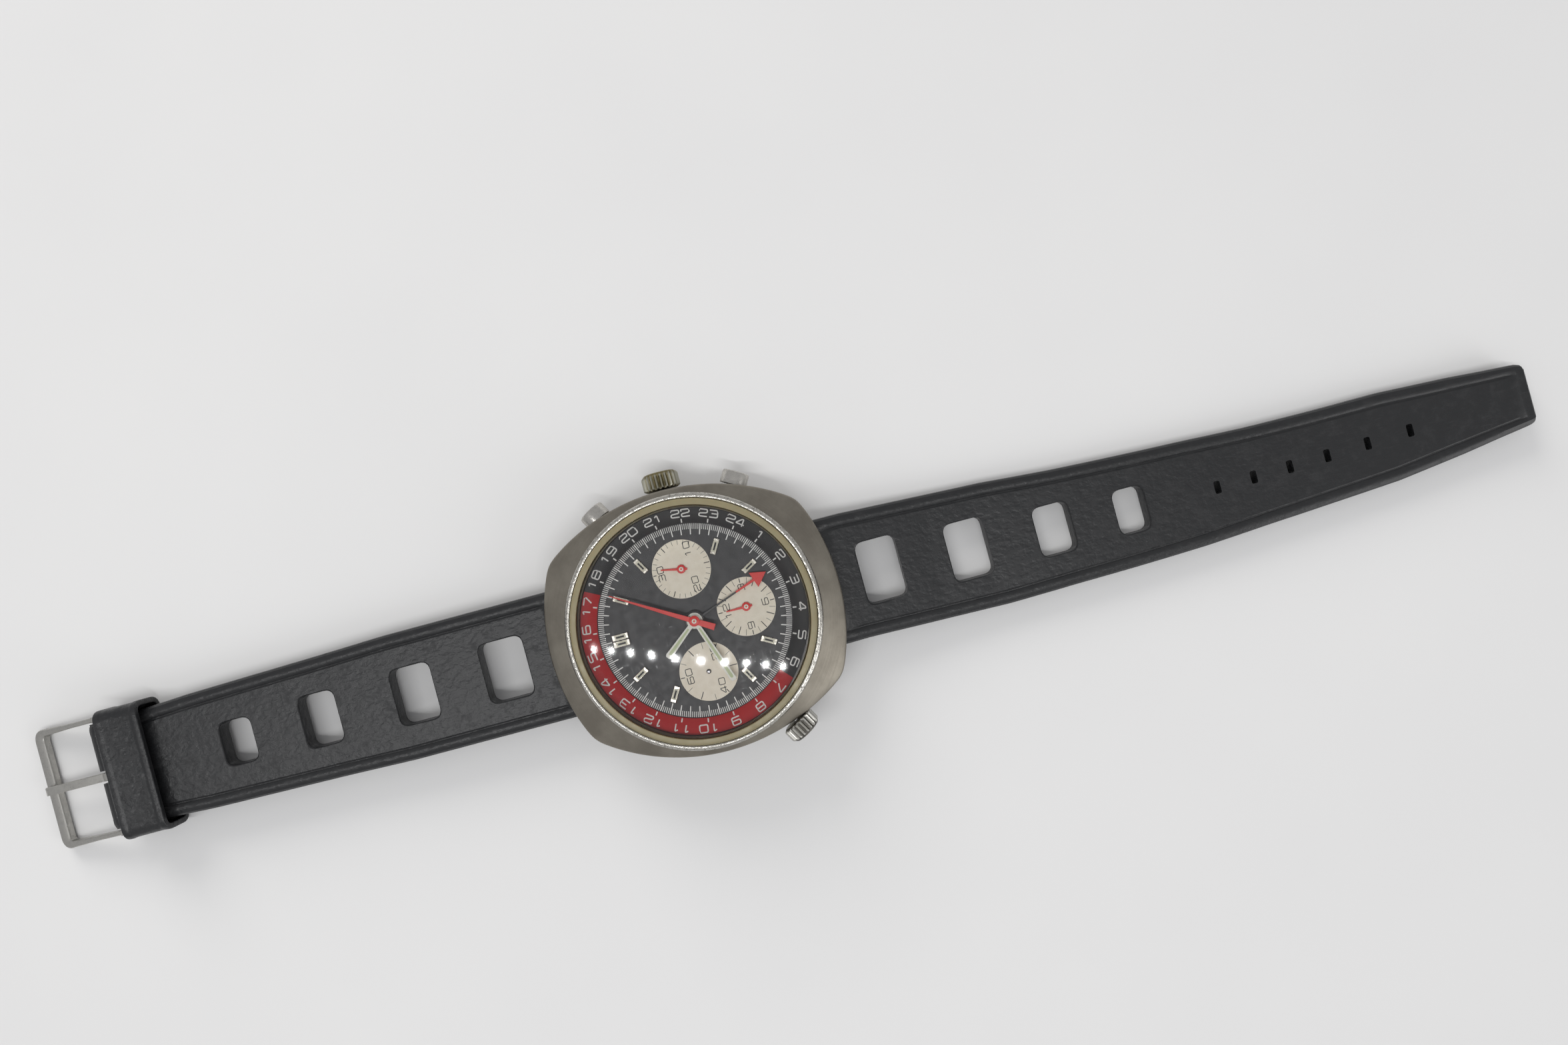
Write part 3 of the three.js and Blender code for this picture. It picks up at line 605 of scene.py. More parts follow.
# ---- Making pieces ----
def piece(name, solid, material, body, replaced=(), sharp=32, choose=None):
    """Adds one piece. choose(centre in mm) picks among several materials, face by face."""
    verts, faces = solid
    mesh = bpy.data.meshes.new(name)
    mesh.from_pydata([tuple(c * MM for c in v) for v in verts], [], faces)
    materials = material if isinstance(material, list) else [material]
    for each in materials:
        mesh.materials.append(each)
    obj = bpy.data.objects.new(name, mesh)
    SCENE.collection.objects.link(obj)
    finish_mesh(obj, sharp, choose)
    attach(obj, body)
    if replaced:
        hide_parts(*replaced)
    return obj


def finish_mesh(obj, sharp=32, choose=None):
    mesh = obj.data
    mesh.validate()
    for polygon in mesh.polygons:
        polygon.use_smooth = True
        if choose:
            polygon.material_index = choose(polygon.center / MM)
    mesh.set_sharp_from_angle(angle=math.radians(sharp))
    mesh.update()


def carve(obj, *cutters, sharp=32):
    """Cuts closed solids out of a piece for good."""
    tools = []
    for k, (verts, faces) in enumerate(cutters):
        mesh = bpy.data.meshes.new("cutter")
        mesh.from_pydata([tuple(c * MM for c in v) for v in verts], [], faces)
        tool = bpy.data.objects.new(f"cutter_{k}", mesh)
        SCENE.collection.objects.link(tool)
        modifier = obj.modifiers.new("cut", "BOOLEAN")
        modifier.operation = "DIFFERENCE"
        modifier.solver = "MANIFOLD"
        modifier.object = tool
        tools.append(tool)
    ready = obj.evaluated_get(bpy.context.evaluated_depsgraph_get())
    old = obj.data
    mesh = bpy.data.meshes.new_from_object(ready)
    obj.modifiers.clear()
    obj.data = mesh
    bpy.data.meshes.remove(old)
    mesh.name = obj.name
    for tool in tools:
        bpy.data.objects.remove(tool)
    finish_mesh(obj, sharp)


# ---- Case ----
def outline_radius(angle):
    """Distance from the centre to the cushion outline: shallow arcs that meet in soft corners."""
    def to_arc(apex, sagitta, chord, c, s):
        radius = (chord ** 2 + sagitta ** 2) / (2 * sagitta)
        centre = apex - radius
        return centre * c + math.sqrt(radius ** 2 - (centre * s) ** 2)
    c, s = abs(math.cos(angle)), abs(math.sin(angle))
    side = to_arc(*SIDE_ARC, c, s)
    end = to_arc(*END_ARC, s, c)
    softness = 0.28
    base = 20  # keeps the exponentials near one
    share = math.exp(-(side - base) / softness) + math.exp(-(end - base) / softness)
    return -softness * math.log(share) + base


def case_loop(blend_out, inset, drop, under=False):
    """One ring of the case skin, from the inner edge to the outline, on the upper or lower cone."""
    inner, level, slope = LOWER_CONE if under else UPPER_CONE
    loop = []
    for i in range(CASE_STEPS):
        a = 2 * math.pi * i / CASE_STEPS
        r = inner + (outline_radius(a) - inset - inner) * blend_out
        rise = (r - inner) * slope
        z = level + rise + drop if under else level - rise - drop
        loop.append((r * math.cos(a), r * math.sin(a), z))
    return loop


def plain_loop(radius, z):
    return [(x, y, z) for x, y in circle(radius, CASE_STEPS)]


def build_case():
    under = [(0.02, 0, 0), (0.5, 0.3, 0), (1, 0.3, 0), (1, 0.08, 0.1), (1, 0, 0.34), (1, 0, 1.6)]
    over = [(1, 0, 1.6), (1, 0, 0.36), (1, 0.07, 0.12), (1, 0.28, 0), (0.66, 0.28, 0),
            (0.33, 0.28, 0), (0.0, 0, 0)]
    bore = [(19.3, 10.34), (17.2, 10.34), (17.2, 8.15), (15.2, 8.15)]
    loops = [plain_loop(15.2, 1.25), plain_loop(18.0, 1.25)]
    loops += [case_loop(*row, under=True) for row in under]
    loops += [case_loop(*row) for row in over]
    loops += [plain_loop(*row) for row in bore]
    case = piece("case_middle", rings(loops, closed=True), CASE_STEEL, "case",
                 ["middle_case"])
    cutters = []
    for side in (1, -1):
        low, high = sorted((17.1 * side, 26 * side))
        cutters.append(prism(rectangle(-10.2, 10.2, low, high), -1, 6.3))
    for angle in (PUSHER_ANGLE, -PUSHER_ANGLE):
        cutters.append(moved(rod(2.3, 20, 26, 64), outward(angle, STEM_Z)))
        cutters.append(moved(rod(1, 14, 20.5), outward(angle, STEM_Z)))
    cutters.append(moved(rod(0.85, 14, 24), outward(0, STEM_Z)))
    cutters.append(moved(rod(0.65, 14, 24), outward(RING_CROWN_ANGLE, RING_STEM_Z)))
    carve(case, *cutters)


def build_case_furniture():
    bezel = softened([(18.46, 10.36), (19.34, 10.36), (19.34, 10.7), (19.12, 11.08), (18.8, 11.22),
                      (18.46, 11.14)], 0.14)
    piece("bezel_ring", turned(bezel, 240), BEZEL_STEEL, "case", ["bezel"])
    gasket = softened([(17.14, 10.36), (18.42, 10.36), (18.42, 11.3), (18.2, 11.56), (17.5, 11.62),
                       (17.42, 11.5), (17.42, 10.72), (17.14, 10.7)], 0.12)
    piece("crystal_seat_ring", turned(gasket, 240), NYLON, "case",
          ["crystal_gasket"])
    build_crystal()
    back = [(0, 0.0), (13.0, 0.0), (13.2, 0.06), (13.6, 0.06), (13.8, 0.0), (16.4, 0.0),
            (16.9, 0.2), (17.18, 0.5), (17.18, 1.15), (17.1, 1.2), (14.7, 1.2), (14.7, 0.65),
            (0, 0.65)]
    lid = piece("screwed_back", turned(back, 240), CASE_STEEL, "case", ["case_back"])
    slots = []
    for k in range(6):
        turn = Matrix.Rotation(k * math.pi / 3, 4, "Z")
        slot = prism(softened(rectangle(15.2, 16.3, -1.3, 1.3), 0.2), -1, 0.4)
        slots.append(moved(slot, turn))
    carve(lid, *slots)


def build_crystal():
    """A low dome with its inner face kept apart, so that only the outer one mirrors the lamps."""
    inside = [(0, 11.6)] + [(17.1 * k / 12, 11.6 - 0.84 * (k / 12) ** 2) for k in range(1, 13)]
    wall = [(17.36, 10.76), (17.36, 11.45), (17.3, 11.6), (17.15, 11.72)]
    outside = [(17.15 * k / 24, 13.4 - 1.6 * (k / 24) ** 2.2) for k in range(23, 0, -1)]
    profile = inside + wall + outside + [(0, 13.4)]
    piece("crystal_dome", turned(profile, 240), [CRYSTAL, CRYSTAL_UNDER], "case",
          ["crystal"],
          choose=lambda c: 1 if c.z < 11.65 and math.hypot(c.x, c.y) < 17.2 else 0)


# ---- Crowns and pushers ----
def fluted(stations, flutes, samples=12):
    """A grip whose stations are (distance out, radius, flute depth)."""
    count = flutes * samples
    loops = []
    for out, radius, depth in stations:
        loop = []
        for i in range(count):
            a = 2 * math.pi * i / count
            groove = (0.5 + 0.5 * math.cos(flutes * a)) ** 0.7
            r = radius - depth * groove
            loop.append((r * math.cos(a), r * math.sin(a), out))
        loops.append(loop)
    return rings(loops)


def crown_stations(inner, outer, radius):
    depth = 0.42
    return [(inner, radius - 0.5, 0), (inner + 0.1, radius - 0.3, 0),
            (inner + 0.28, radius, depth * 0.8), (inner + 0.5, radius, depth),
            (outer - 0.75, radius, depth), (outer - 0.55, radius - 0.06, depth * 0.8),
            (outer - 0.38, radius - 0.28, depth * 0.25), (outer - 0.3, radius - 0.38, 0),
            (outer - 0.12, radius - 0.55, 0), (outer, radius - 0.95, 0), (outer, 0.4, 0),
            (outer, 0.05, 0)]


def build_crowns():
    main = moved(fluted(crown_stations(20.5, 23.3, CROWN_RADIUS), 22), outward(0, STEM_Z))
    piece("winding_crown_grip", main, CROWN_STEEL, "winding_crown",
          ["winding_crown"], sharp=50)
    second = moved(fluted(crown_stations(21.6, 24.2, RING_CROWN_RADIUS), 20),
                   outward(RING_CROWN_ANGLE, RING_STEM_Z))
    piece("ring_crown_grip", second, RING_CROWN_STEEL, "ring_crown",
          ["inner_ring_crown"], sharp=50)
    profile = [(0, 15), (0.8, 15), (0.8, 22.7), (1.7, 22.7), (1.7, 21.3), (2.02, 21.3), (2.1, 21.4),
               (2.1, 23.15), (2.02, 23.32), (1.85, 23.42), (1.2, 23.48), (0, 23.5)]
    for name, angle in (("start_pusher", PUSHER_ANGLE), ("reset_pusher", -PUSHER_ANGLE)):
        cap = moved(turned(profile, 72), outward(angle, STEM_Z))
        piece(f"{name}_cap", cap, TRIM_STEEL, name, [name])


# ---- Inner hour ring ----
RING_INNER, RING_OUTER = (14.75, 9.0), (17.1, 9.9)


def ring_height(radius):
    share = (radius - RING_INNER[0]) / (RING_OUTER[0] - RING_INNER[0])
    return RING_INNER[1] + share * (RING_OUTER[1] - RING_INNER[1])


def on_ring(solid, radius, degrees):
    """Lays a flat shape on the ring's slope, its top outwards, at one clock angle."""
    slope = math.atan2(RING_OUTER[1] - RING_INNER[1], RING_OUTER[0] - RING_INNER[0])
    lift = shift(0, radius, ring_height(radius))
    return moved(solid, clockwise(degrees) @ lift @ Matrix.Rotation(slope, 4, "X"))


def build_hour_ring():
    profile = [(14.75, 8.85), (15.4, 8.85), (15.4, 8.25), (16.6, 8.25), (16.6, 8.85), (17.1, 8.85),
               (17.1, 9.88), (17.06, 9.9), (16.2, ring_height(16.2)), (14.8, 9.02), (14.75, 8.97)]

    def half(centre):
        hour = ((90 - math.degrees(math.atan2(centre.y, centre.x)) - RING_TURN) / 15) % 24
        return 1 if 6.5 < hour < 17.5 else 0
    piece("hour_ring", turned(profile, 288), [RING_BLACK, RING_RED], "inner_ring",
          ["inner_bezel_ring"], choose=half)
    prints = []
    for hour in range(1, 25):
        degrees = RING_TURN + 15 * hour
        prints.append(on_ring(numeral(str(hour), 1.14, 0.1, 0.005, 0.03), 16.28, degrees))
        prints.append(on_ring(prism(rectangle(-0.1, 0.1, -0.3, 0.3), 0.005, 0.03), 15.15, degrees))
    piece("hour_ring_print", combine(*prints), PRINT_WHITE, "inner_ring")


# ---- Dial ----
def bar_at(degrees, inner, outer, width, z0, z1, centre=(0, 0)):
    flat = prism(rectangle(-width / 2, width / 2, inner, outer), z0, z1)
    return moved(flat, shift(*centre) @ clockwise(degrees))


def build_dial():
    blank = turned([(1.3, 8.3), (15.05, 8.3), (15.05, DIAL_TOP), (1.3, DIAL_TOP)], 240)
    plate = piece("dial_plate", blank, DIAL_BLACK, "case", ["dial"])
    well = turned([(0, SUBDIAL_FLOOR), (SUBDIAL_RADIUS, SUBDIAL_FLOOR),
                   (SUBDIAL_RADIUS + 0.08, 9), (0, 9)], 96)
    wells = [moved(well, shift(*at)) for at in SUBDIALS.values()]
    posts = [moved(rod(0.35, 8, 9, 24), shift(*at)) for at in SUBDIALS.values()]
    carve(plate, *wells, *posts)

    edge, low, high = SUBDIAL_RADIUS - 0.03, SUBDIAL_FLOOR + 0.002, SUBDIAL_FLOOR + 0.02
    rippled = [(edge - 0.16 * k, high + (0.006 if k % 2 else 0)) for k in range(26)]
    disc = [(0.36, low), (edge, low)] + rippled + [(0.36, high)]
    for hour, at in SUBDIALS.items():
        piece(f"counter_{hour}", moved(turned(disc, 96), shift(*at)), CREAM, "case")

    marks = []
    for k in range(300):
        inner, width = (13.0, 0.16) if k % 5 == 0 else (13.8, 0.1)
        marks.append(bar_at(k * 1.2, inner, 14.65, width, DIAL_TOP + 0.002, DIAL_TOP + 0.02))
    piece("dial_track", combine(*marks), PRINT_WHITE, "case")
    build_counter_prints()
    build_markers()


def build_counter_prints():
    low, high = SUBDIAL_FLOOR + 0.027, SUBDIAL_FLOOR + 0.04
    edge = SUBDIAL_RADIUS - 0.12
    # Steps, figures and their clock angles, bold steps, length of a plain step
    scales = {
        "3": (30, {30: 0, 10: 120, 20: 240}, {5, 15, 25}, 0.65),
        "6": (24, {12: 0, 3: 90, 6: 180, 9: 270}, {2, 4, 8, 10, 14, 16, 20, 22}, 0.9),
        "9": (12, {60: 0, 20: 120, 40: 240}, {2, 6, 10}, 0.85),
    }
    for name, (steps, figures, strong, short) in scales.items():
        centre = SUBDIALS[name]
        solids = []
        for k in range(steps):
            degrees = 360 * k / steps
            bold = k in strong or round(degrees) in figures.values()
            length = short * (1.35 if k in strong else 0.75 if bold else 1)
            width = 0.12 if bold else 0.055
            solids.append(bar_at(degrees, edge - length, edge, width, low, high, centre))
        for number, degrees in figures.items():
            a = math.radians(90 - degrees)
            reach = edge - short * 0.75 - 0.75
            at = (centre[0] + reach * math.cos(a), centre[1] + reach * math.sin(a))
            solids.append(moved(numeral(str(number), 0.92, 0.055, low, high), shift(*at)))
        piece(f"counter_print_{name}", combine(*solids), PRINT_BLACK, "case")


def build_markers():
    """Applied batons: a bevelled steel block under a pale plate with a black slot."""
    blocks, plates, slots = [], [], []
    places = [(hour * 30, 0) for hour in (1, 2, 4, 5, 7, 8, 10, 11)] + [(0, -0.52), (0, 0.52)]
    top = DIAL_TOP + 0.28
    block = prism(rectangle(-0.45, 0.45, -1.25, 1.25), DIAL_TOP, top, 0.06)
    plate = prism(rectangle(-0.36, 0.36, -0.85, 0.85), top, top + 0.03, 0.02)
    slot = prism(rectangle(-0.13, 0.13, -0.62, 0.62), top + 0.03, top + 0.045)
    for degrees, side in places:
        at = clockwise(degrees) @ shift(side, 11.55)
        blocks.append(moved(block, at))
        plates.append(moved(plate, at))
        slots.append(moved(slot, at))
    piece("hour_markers", combine(*blocks), MARKER_STEEL, "case")
    piece("hour_marker_plates", combine(*plates), AGED_WHITE, "case")
    piece("hour_marker_slots", combine(*slots), PRINT_BLACK, "case")


# ---- Hands ----
def hub(outer, inner, z0, z1):
    profile = [(inner, z0), (outer, z0), (outer, z1 - 0.03), (outer - 0.05, z1), (inner, z1)]
    return turned(profile, 64)


def pin_end(radius, z0, z1):
    """The end of a pin, with a rounded top."""
    rise = min(0.06, radius * 0.4)
    profile = [(0, z0), (radius, z0), (radius, z1 - rise), (radius * 0.75, z1 - rise * 0.3),
               (0, z1)]
    return turned(profile, 32)


def taper(length, root, tip, start, end_cut=0.3):
    return [(-root, start), (root, start), (tip, length - end_cut), (tip * 0.6, length),
            (-tip * 0.6, length), (-tip, length - end_cut)]


def build_hands():
    build_pale_hand("hour_hand", 320.9, 6.9, 9.45, 1.2, 0.9, "hour")
    build_pale_hand("minute_hand", 251, 10.7, 9.75, 0.95, 0.55, "center")
    build_gmt_hand(clockwise(160.4), 9.15)
    build_seconds_hand(clockwise(31.3), 10.05)
    build_counter_hand("minute_counter", shift(*SUBDIALS["3"]) @ clockwise(11.5), 8.82)
    build_counter_hand("hour_counter", shift(*SUBDIALS["6"]) @ clockwise(0), 8.82)
    post = moved(pin_end(0.27, SUBDIAL_FLOOR + 0.03, 9.04), shift(*SUBDIALS["9"]))
    piece("bare_seconds_post", post, WORK_STEEL, "fourth")


def build_pale_hand(name, degrees, length, z, outer, inner, body):
    """A white baton with a strip of luminous paint."""
    at = clockwise(degrees)
    baton = prism(taper(length, 0.36, 0.5, inner + 0.1), z, z + 0.12, 0.03)
    blade = moved(combine(baton, hub(outer, inner, z, z + 0.15)), at)
    piece(f"{name}_blade", blade, HAND_WHITE, body, [name])
    fill = prism(taper(length - 0.5, 0.13, 0.24, outer + 0.35), z + 0.12, z + 0.14, 0.01)
    piece(f"{name}_lume", moved(fill, at), LUME, body)


def build_gmt_hand(at, z):
    stem = prism(taper(7.6, 0.16, 0.12, 1.25, 0.01), z, z + 0.12, 0.02)
    piece("gmt_hand_stem", moved(combine(stem, hub(1.5, 1.24, z, z + 0.15)), at), HAND_BLACK, "gmt",
          ["gmt_hand"])
    arrow = [(-0.13, 7.5), (0.13, 7.5), (0.2, 10.75), (1.3, 10.75), (0, 13), (-1.3, 10.75),
             (-0.2, 10.75)]
    head = moved(prism(arrow, z + 0.01, z + 0.14, 0.03), at)
    piece("gmt_hand_arrow", head, HAND_RED, "gmt")


def build_seconds_hand(at, z):
    outline = [(-0.5, -3.2), (0.5, -3.2), (0.42, -0.4), (0.38, 0.6), (0.07, 13.3), (-0.07, 13.3),
               (-0.38, 0.6), (-0.42, -0.4)]
    needle = prism(outline, z, z + 0.13, 0.035)
    piece("seconds_hand_needle", moved(combine(needle, hub(0.8, 0.24, z, z + 0.22)), at), HAND_RED,
          "runner", ["chronograph_seconds_hand"])
    piece("seconds_hand_ring", hub(0.36, 0.17, z + 0.2, z + 0.43), HAND_WHITE, "runner")
    piece("seconds_hand_cap", pin_end(0.17, z + 0.2, z + 0.45), HAND_RED, "runner")


def build_counter_hand(body, at, z):
    name = f"{body}_hand"
    outline = [(-0.17, -0.9), (0.17, -0.9), (0.2, 0), (0.09, 3.1), (-0.09, 3.1), (-0.2, 0)]
    blade = combine(prism(outline, z, z + 0.1, 0.025), hub(0.66, 0.24, z, z + 0.14))
    piece(f"{name}_blade", moved(blade, at), HAND_RED, body, [name])
    ring = moved(hub(0.34, 0.15, z + 0.12, z + 0.2), at)
    piece(f"{name}_ring", ring, HAND_WHITE, body)
    cap = moved(pin_end(0.15, z + 0.1, z + 0.22), at)
    piece(f"{name}_cap", cap, HAND_RED, body)


# ---- Strap ----
def between(rows, d):
    """Reads a value from (distance, value) rows, in straight lines between them."""
    for (d0, v0), (d1, v1) in zip(rows, rows[1:]):
        if d <= d1:
            t = min(1, max(0, (d - d0) / (d1 - d0)))
            return v0 + (v1 - v0) * t
    return rows[-1][1]


def strap_section(half, bottom, top, middle, relief):
    """Rolled borders with a fine groove inside each, and a slightly lower centre."""
    border = min(1.9, half * 0.3)
    inner = half - border
    level = top - 0.16 * relief
    profile = [(0, level), (inner * 0.5, level), (inner - 0.45, level),
               (inner - 0.22, level - 0.14 * relief), (inner - 0.06, level - 0.16 * relief),
               (inner + 0.1, level), (inner + 0.35, top - 0.04 * relief),
               (inner + border * 0.4, top), (half - 0.8, top - 0.06), (half - 0.38, top - 0.26),
               (half - 0.1, top - 0.62), (half, top - 1.15), (half - 0.02, bottom + 0.7),
               (half - 0.22, bottom + 0.2), (half - 0.7, bottom), (half * 0.5, bottom), (0, bottom)]
    left = [(-x, z) for x, z in profile[1:-1]]
    return [(middle + x, z) for x, z in profile[::-1] + left]


def rounded_window(x, y, across_mm, along_mm, grow):
    outline = rectangle(x - across_mm / 2 - grow, x + across_mm / 2 + grow,
                        y - along_mm / 2 - grow, y + along_mm / 2 + grow)
    return softened(outline, 1.45, 6)


def window_cutter(x, d, along_mm, across_mm, bottom, top):
    """A rounded square tunnel that flares at both faces of the strap."""
    levels = [(-2, 0.1), (bottom, 0.1), (bottom + 0.15, 0), (top - 0.3, 0), (top - 0.12, 0.06),
              (top + 0.02, 0.2), (top + 3, 0.3)]
    loops = []
    for z, grow in levels:
        loops.append([(px, py, z) for px, py in rounded_window(x, d, across_mm, along_mm, grow)])
    return rings(loops)


def slot_cutter(x, d, along_mm, across_mm):
    outline = rectangle(x - across_mm / 2, x + across_mm / 2, d - along_mm / 2, d + along_mm / 2)
    return prism(softened(outline, 0.3), -2, 9)


def strap_half(name, sign, widths, bottoms, tops, bow, windows, slots, end):
    """One half, built towards +Y and turned half round for the 6 o'clock side.

    Both ends are round in side view. end is the (distance, height, radius) of the buckle's loop.
    """
    pivot_y, pivot_z = PIVOT
    first = 2.03  # how far the rubber reaches behind the spring bar
    last = end[0] + end[2] - 0.02 if end else TAIL_TIP
    count = 150
    stops = [pivot_y - first + (last - pivot_y + first) * (k / count) for k in range(count + 1)]
    stops += [pivot_y - 1.9, pivot_y - 1.6, pivot_y - 1.1, last - 1.4, last - 0.3]
    if end:
        stops += [end[0] + 0.9, end[0] + 1.35, end[0] + 1.55]

    def middle(d):
        """How far the strap bows sideways, from straight near the case."""
        straight = 25
        share = (d - straight) / (TAIL_TIP - straight)
        return bow * math.sin(math.pi * min(1, max(0, share)))

    def faces(d):
        if d < pivot_y:
            reach = math.sqrt(max(0.01, 2.05 ** 2 - (pivot_y - d) ** 2))
            return pivot_z - min(reach, pivot_z - 2.2), pivot_z + min(reach, 5.6 - pivot_z)
        if end and d > end[0]:
            reach = math.sqrt(max(0.01, end[2] ** 2 - (d - end[0]) ** 2))
            return end[1] - reach, end[1] + reach
        nose = max(0, d - last + 0.3) if not end else 0
        return between(bottoms, d) + nose, between(tops, d) - nose
    loops = []
    for d in sorted(stops):
        low, high = faces(d)
        fade = min(1, max(0, (d - 21) / 2), max(0.0, (last - 1.4 - d) / 0.7))
        relief = fade if high - low > 2.4 else 0.2
        section = strap_section(between(widths, d) / 2, low, high, middle(d), relief)
        if high - low < 1.6:
            centre = (low + high) / 2
            half = (high - low) / 2
            section = [(x, centre + max(-1, min(1, (z - centre) / 0.9)) * half) for x, z in section]
        loops.append([(x, d, z) for x, z in section])
    solid = rings([loop[::-1] for loop in loops])
    cutters = []
    for d, along, wide in windows:
        top = between(tops, d) - 0.16
        cutters.append(window_cutter(middle(d), d, along, wide, between(bottoms, d), top))
    cutters += [slot_cutter(middle(d), d, along, wide) for d, along, wide in slots]
    turn = Matrix.Identity(4) if sign > 0 else Matrix.Rotation(math.pi, 4, "Z")
    obj = piece(f"{name}_rubber", moved(solid, turn), STRAP_RUBBER, name, [name])
    carve(obj, *[moved(c, turn) for c in cutters], sharp=24)


def build_straps():
    strap_half("buckle_strap", 1,
               widths=[(16, 20), (48, 20), (59, 19.3), (70, 18.8), (80, 18.3), (90, 17.2),
                       (98, 16.8)],
               bottoms=[(19.3, 2.2), (23, 2.15), (60, 1.4), (94.6, 1.4)],
               tops=[(19.3, 5.6), (23, 5.5), (60, 4.7), (94.6, 4.7)],
               bow=0, windows=[(30.6, 7, 9.4), (45.3, 6.4, 8.9), (60.5, 5.7, 8.2), (73.7, 5, 6.9)],
               slots=[(95.2, 5, 2)], end=(*BUCKLE, 1.65))
    strap_half("tail_strap", -1,
               widths=[(16, 20), (37, 19.8), (48, 19.6), (59, 18.5), (69, 17.8), (80, 17),
                       (90.5, 15.8), (101, 15), (112, 14.3), (122.6, 12.4), (128.4, 11),
                       (133.4, 9.9), (134.3, 9.2)],
               bottoms=[(19.3, 2.2), (23, 2.1), (30, 1.2), (38, 0.35), (46, 0.0), (110, 0),
                        (123, 0.25), (134.3, 0.9)],
               tops=[(19.3, 5.6), (23, 5.45), (30, 4.55), (38, 3.7), (46, 3.3), (110, 3.1),
                     (123, 3.3), (134.3, 3.9)],
               bow=1.6,
               windows=[(29.5, 6.4, 9.8), (43.6, 6.4, 9.2), (57.4, 5.7, 7.9), (69.8, 4.9, 7.1)],
               slots=[(d, 1, 2) for d in (83.7, 89.6, 95.5, 101.6, 108.2, 115.1)], end=None)


def build_keeper():
    """A moulded loop: a rounded band carried round a rounded rectangle across the strap."""
    path = softened(rectangle(-9.8, 9.8, 0.55, 6.35), 1.5, 8)
    end = (KEEPER_SPAN[1] - KEEPER_SPAN[0]) / 2
    band = softened([(-0.45, -end), (0.45, -end), (0.45, -end + 0.8), (0.36, -end + 1.1),
                     (0.36, end - 1.1), (0.45, end - 0.8), (0.45, end), (-0.45, end)], 0.2, 3)
    loop = sweep(path, lambda i: band, closed=True)
    centre = sum(KEEPER_SPAN) / 2
    stand = Matrix(((1, 0, 0, 0), (0, 0, -1, centre), (0, 1, 0, 0), (0, 0, 0, 1)))
    piece("keeper_loop", moved(loop, stand), KEEPER_RUBBER, "keeper",
          ["strap_keeper"], sharp=45)


def build_buckle():
    reach = math.hypot(OUTER_BAR[0] - BUCKLE[0], OUTER_BAR[1] - BUCKLE[1])
    tilt = math.atan2(OUTER_BAR[1] - BUCKLE[1], OUTER_BAR[0] - BUCKLE[0])
    lie = shift(0, *BUCKLE) @ Matrix.Rotation(tilt, 4, "X")
    side = 9.07
    path = softened([(-side, 0), (-side, 4), (-side, reach), (0, reach), (side, reach), (side, 4),
                     (side, 0)], 1.3, 8, closed=False)

    def section(i):
        share = min(1, max(0, (path[i][1] - reach + 1.8) / 1.6))
        return rounded_box_section(0.75 + 0.95 * share, 1.7 - 0.4 * share, 0.3)
    ends = [moved(turned([(0.46, a), (1.15, a), (1.15, b), (0.46, b)], 48), across(*BUCKLE))
            for a, b in ((-9.5, -8.65), (8.65, 9.5))]
    hoop = moved(sweep(path, section), lie)
    piece("buckle_hoop", combine(hoop, *ends), BUCKLE_STEEL, "buckle",
          ["buckle_frame"])
    bar = turned([(0, -9.4), (0.4, -9.4), (0.4, -8.55), (0.7, -8.5), (0.7, 8.5), (0.4, 8.55),
                  (0.4, 9.4), (0, 9.4)], 32)
    piece("buckle_cross_bar", moved(bar, across(*BUCKLE)), BUCKLE_STEEL, "buckle",
          ["buckle_bar"])
    outline = softened([(95.3, 3.2), (105.8, 1.88), (106.2, 1.85), (106.3, 2.15), (105.8, 2.55),
                        (95.3, 4.05)], 0.25)
    upright = Matrix(((0, 0, 1, 0), (1, 0, 0, 0), (0, 1, 0, 0), (0, 0, 0, 1)))
    shank = moved(prism(outline, -0.65, 0.65, 0.12), upright)
    collar = softened([(0.8, -0.65), (1.45, -0.65), (1.45, 0.65), (0.8, 0.65)], 0.15, 3)
    eye = moved(turned(collar, 48), across(*BUCKLE))
    piece("tongue_shank", combine(shank, eye), BUCKLE_STEEL, "tongue",
          ["buckle_tongue"])


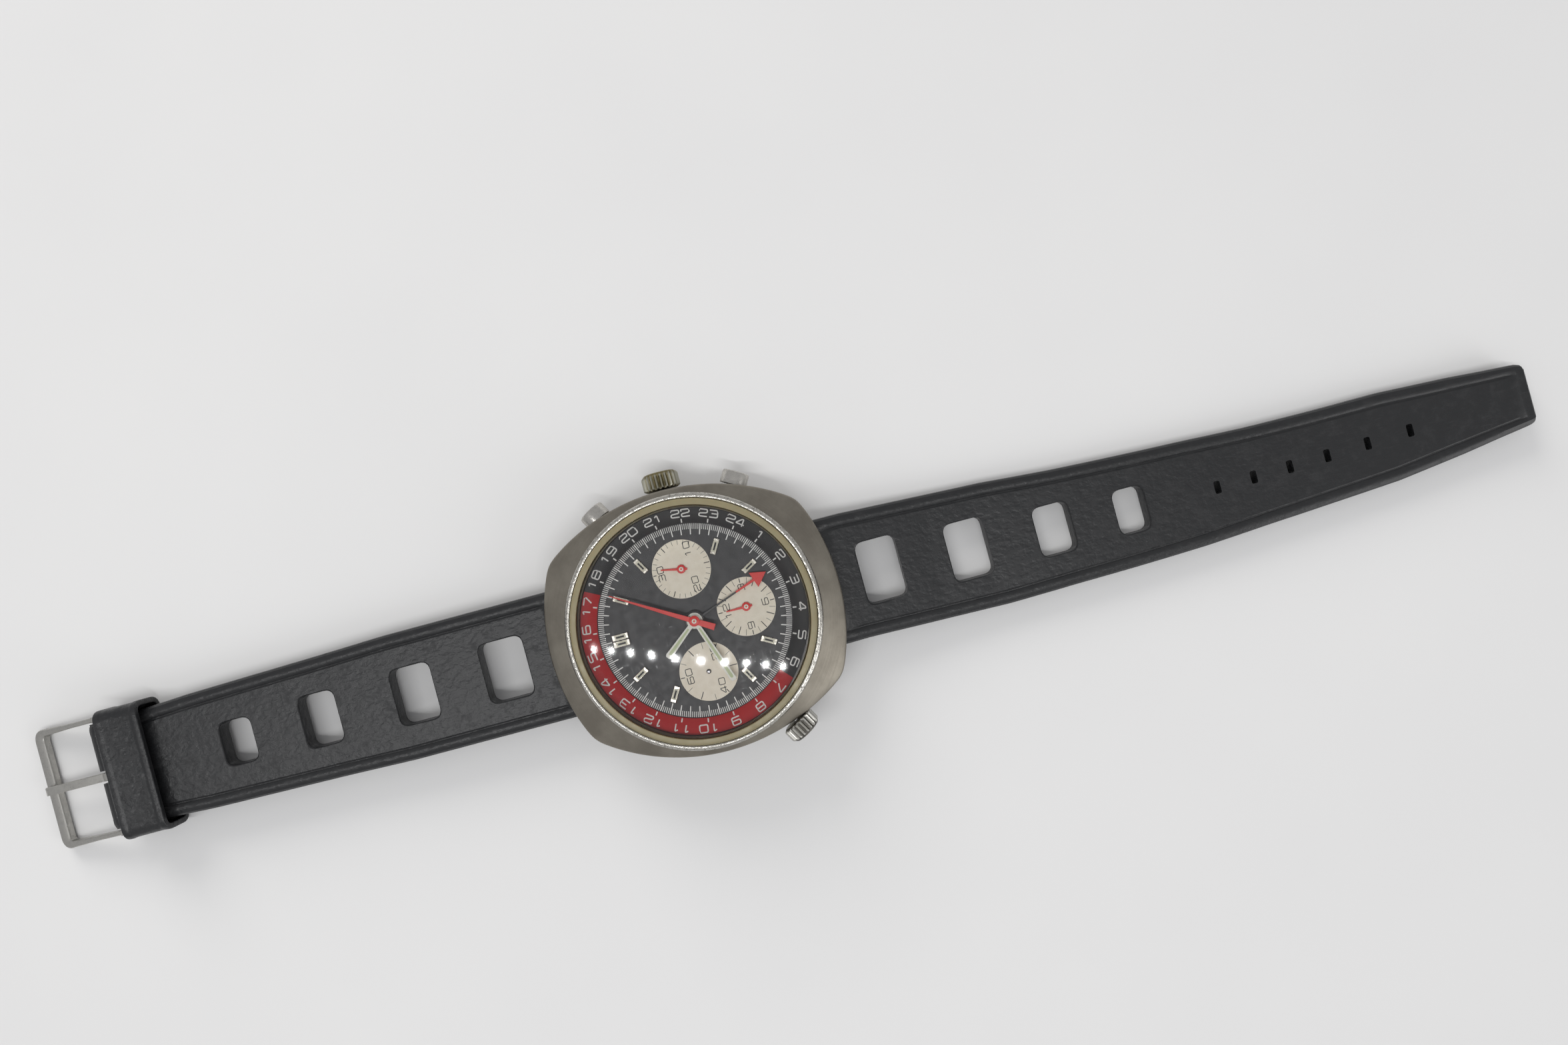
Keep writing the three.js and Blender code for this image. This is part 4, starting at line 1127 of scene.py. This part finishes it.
# ---- Stage, light and camera ----
def build_stage():
    mesh = bpy.data.meshes.new("tabletop")
    reach = 3.0
    z = -0.00002  # just clear of the back, so that no two faces share a plane
    corners = [(-reach, -reach, z), (reach, -reach, z), (reach, reach, z), (-reach, reach, z)]
    mesh.from_pydata(corners, [], [(0, 1, 2, 3)])
    table = bpy.data.objects.new("tabletop", mesh)
    SCENE.collection.objects.link(table)
    f = Finish("pale_paper", 0.8)
    f.colour(f.blend(f.noise(0.02, 3.0), (0.74, 0.74, 0.735), (0.70, 0.70, 0.70)))
    mesh.materials.append(f.material)


def area_light(name, place, size, power, tint=(1, 1, 1), mirrored=True):
    """A round lamp aimed at the watch. Unless mirrored, it shows in no reflection."""
    light = bpy.data.lights.new(name, "AREA")
    light.shape = "DISK"
    light.size = size
    light.energy = power
    light.color = tint
    obj = bpy.data.objects.new(name, light)
    obj.location = place
    obj.rotation_euler = (-obj.location).to_track_quat("-Z", "Y").to_euler()
    obj.visible_glossy = mirrored
    SCENE.collection.objects.link(obj)


def build_lights():
    world = bpy.data.worlds.new("studio")
    SCENE.world = world
    world.use_nodes = True
    background = world.node_tree.nodes["Background"]
    background.inputs["Color"].default_value = (0.98, 0.98, 1.0, 1)
    background.inputs["Strength"].default_value = 0.5
    area_light("window", (0.8, 0.2, 0.36), 0.5, 4.5, (1, 0.98, 0.95), mirrored=False)
    area_light("fill", (-0.6, -0.7, 0.4), 0.6, 2.0)
    lamps = 10  # a curved row overhead, mirrored in the crystal
    for k in range(lamps):
        t = k / (lamps - 1)
        x = -0.0466 - 0.1228 * t - 0.0634 * t * t
        y = 0.3794 - 0.598 * t + 0.0722 * t * t
        area_light(f"lamp_{k}", (x, y, 0.6), 0.016, 0.13)


def build_camera():
    """Straight above the watch, looking down, as in the photograph."""
    camera = bpy.data.cameras.new("camera")
    camera.lens = 24
    camera.sensor_width = 36
    camera.clip_start = 0.01
    obj = bpy.data.objects.new("camera", camera)
    right, up = Vector(CAMERA_RIGHT), Vector(CAMERA_UP)
    turn = Matrix((right, up, right.cross(up))).transposed().to_4x4()
    obj.matrix_world = Matrix.Translation(CAMERA_PLACE) @ turn
    SCENE.collection.objects.link(obj)
    SCENE.camera = obj


dress_cad_nodes()
build_case()
build_case_furniture()
build_crowns()
build_hour_ring()
build_dial()
build_hands()
build_straps()
build_keeper()
build_buckle()
build_stage()
build_lights()
build_camera()

bpy.context.view_layer.update()
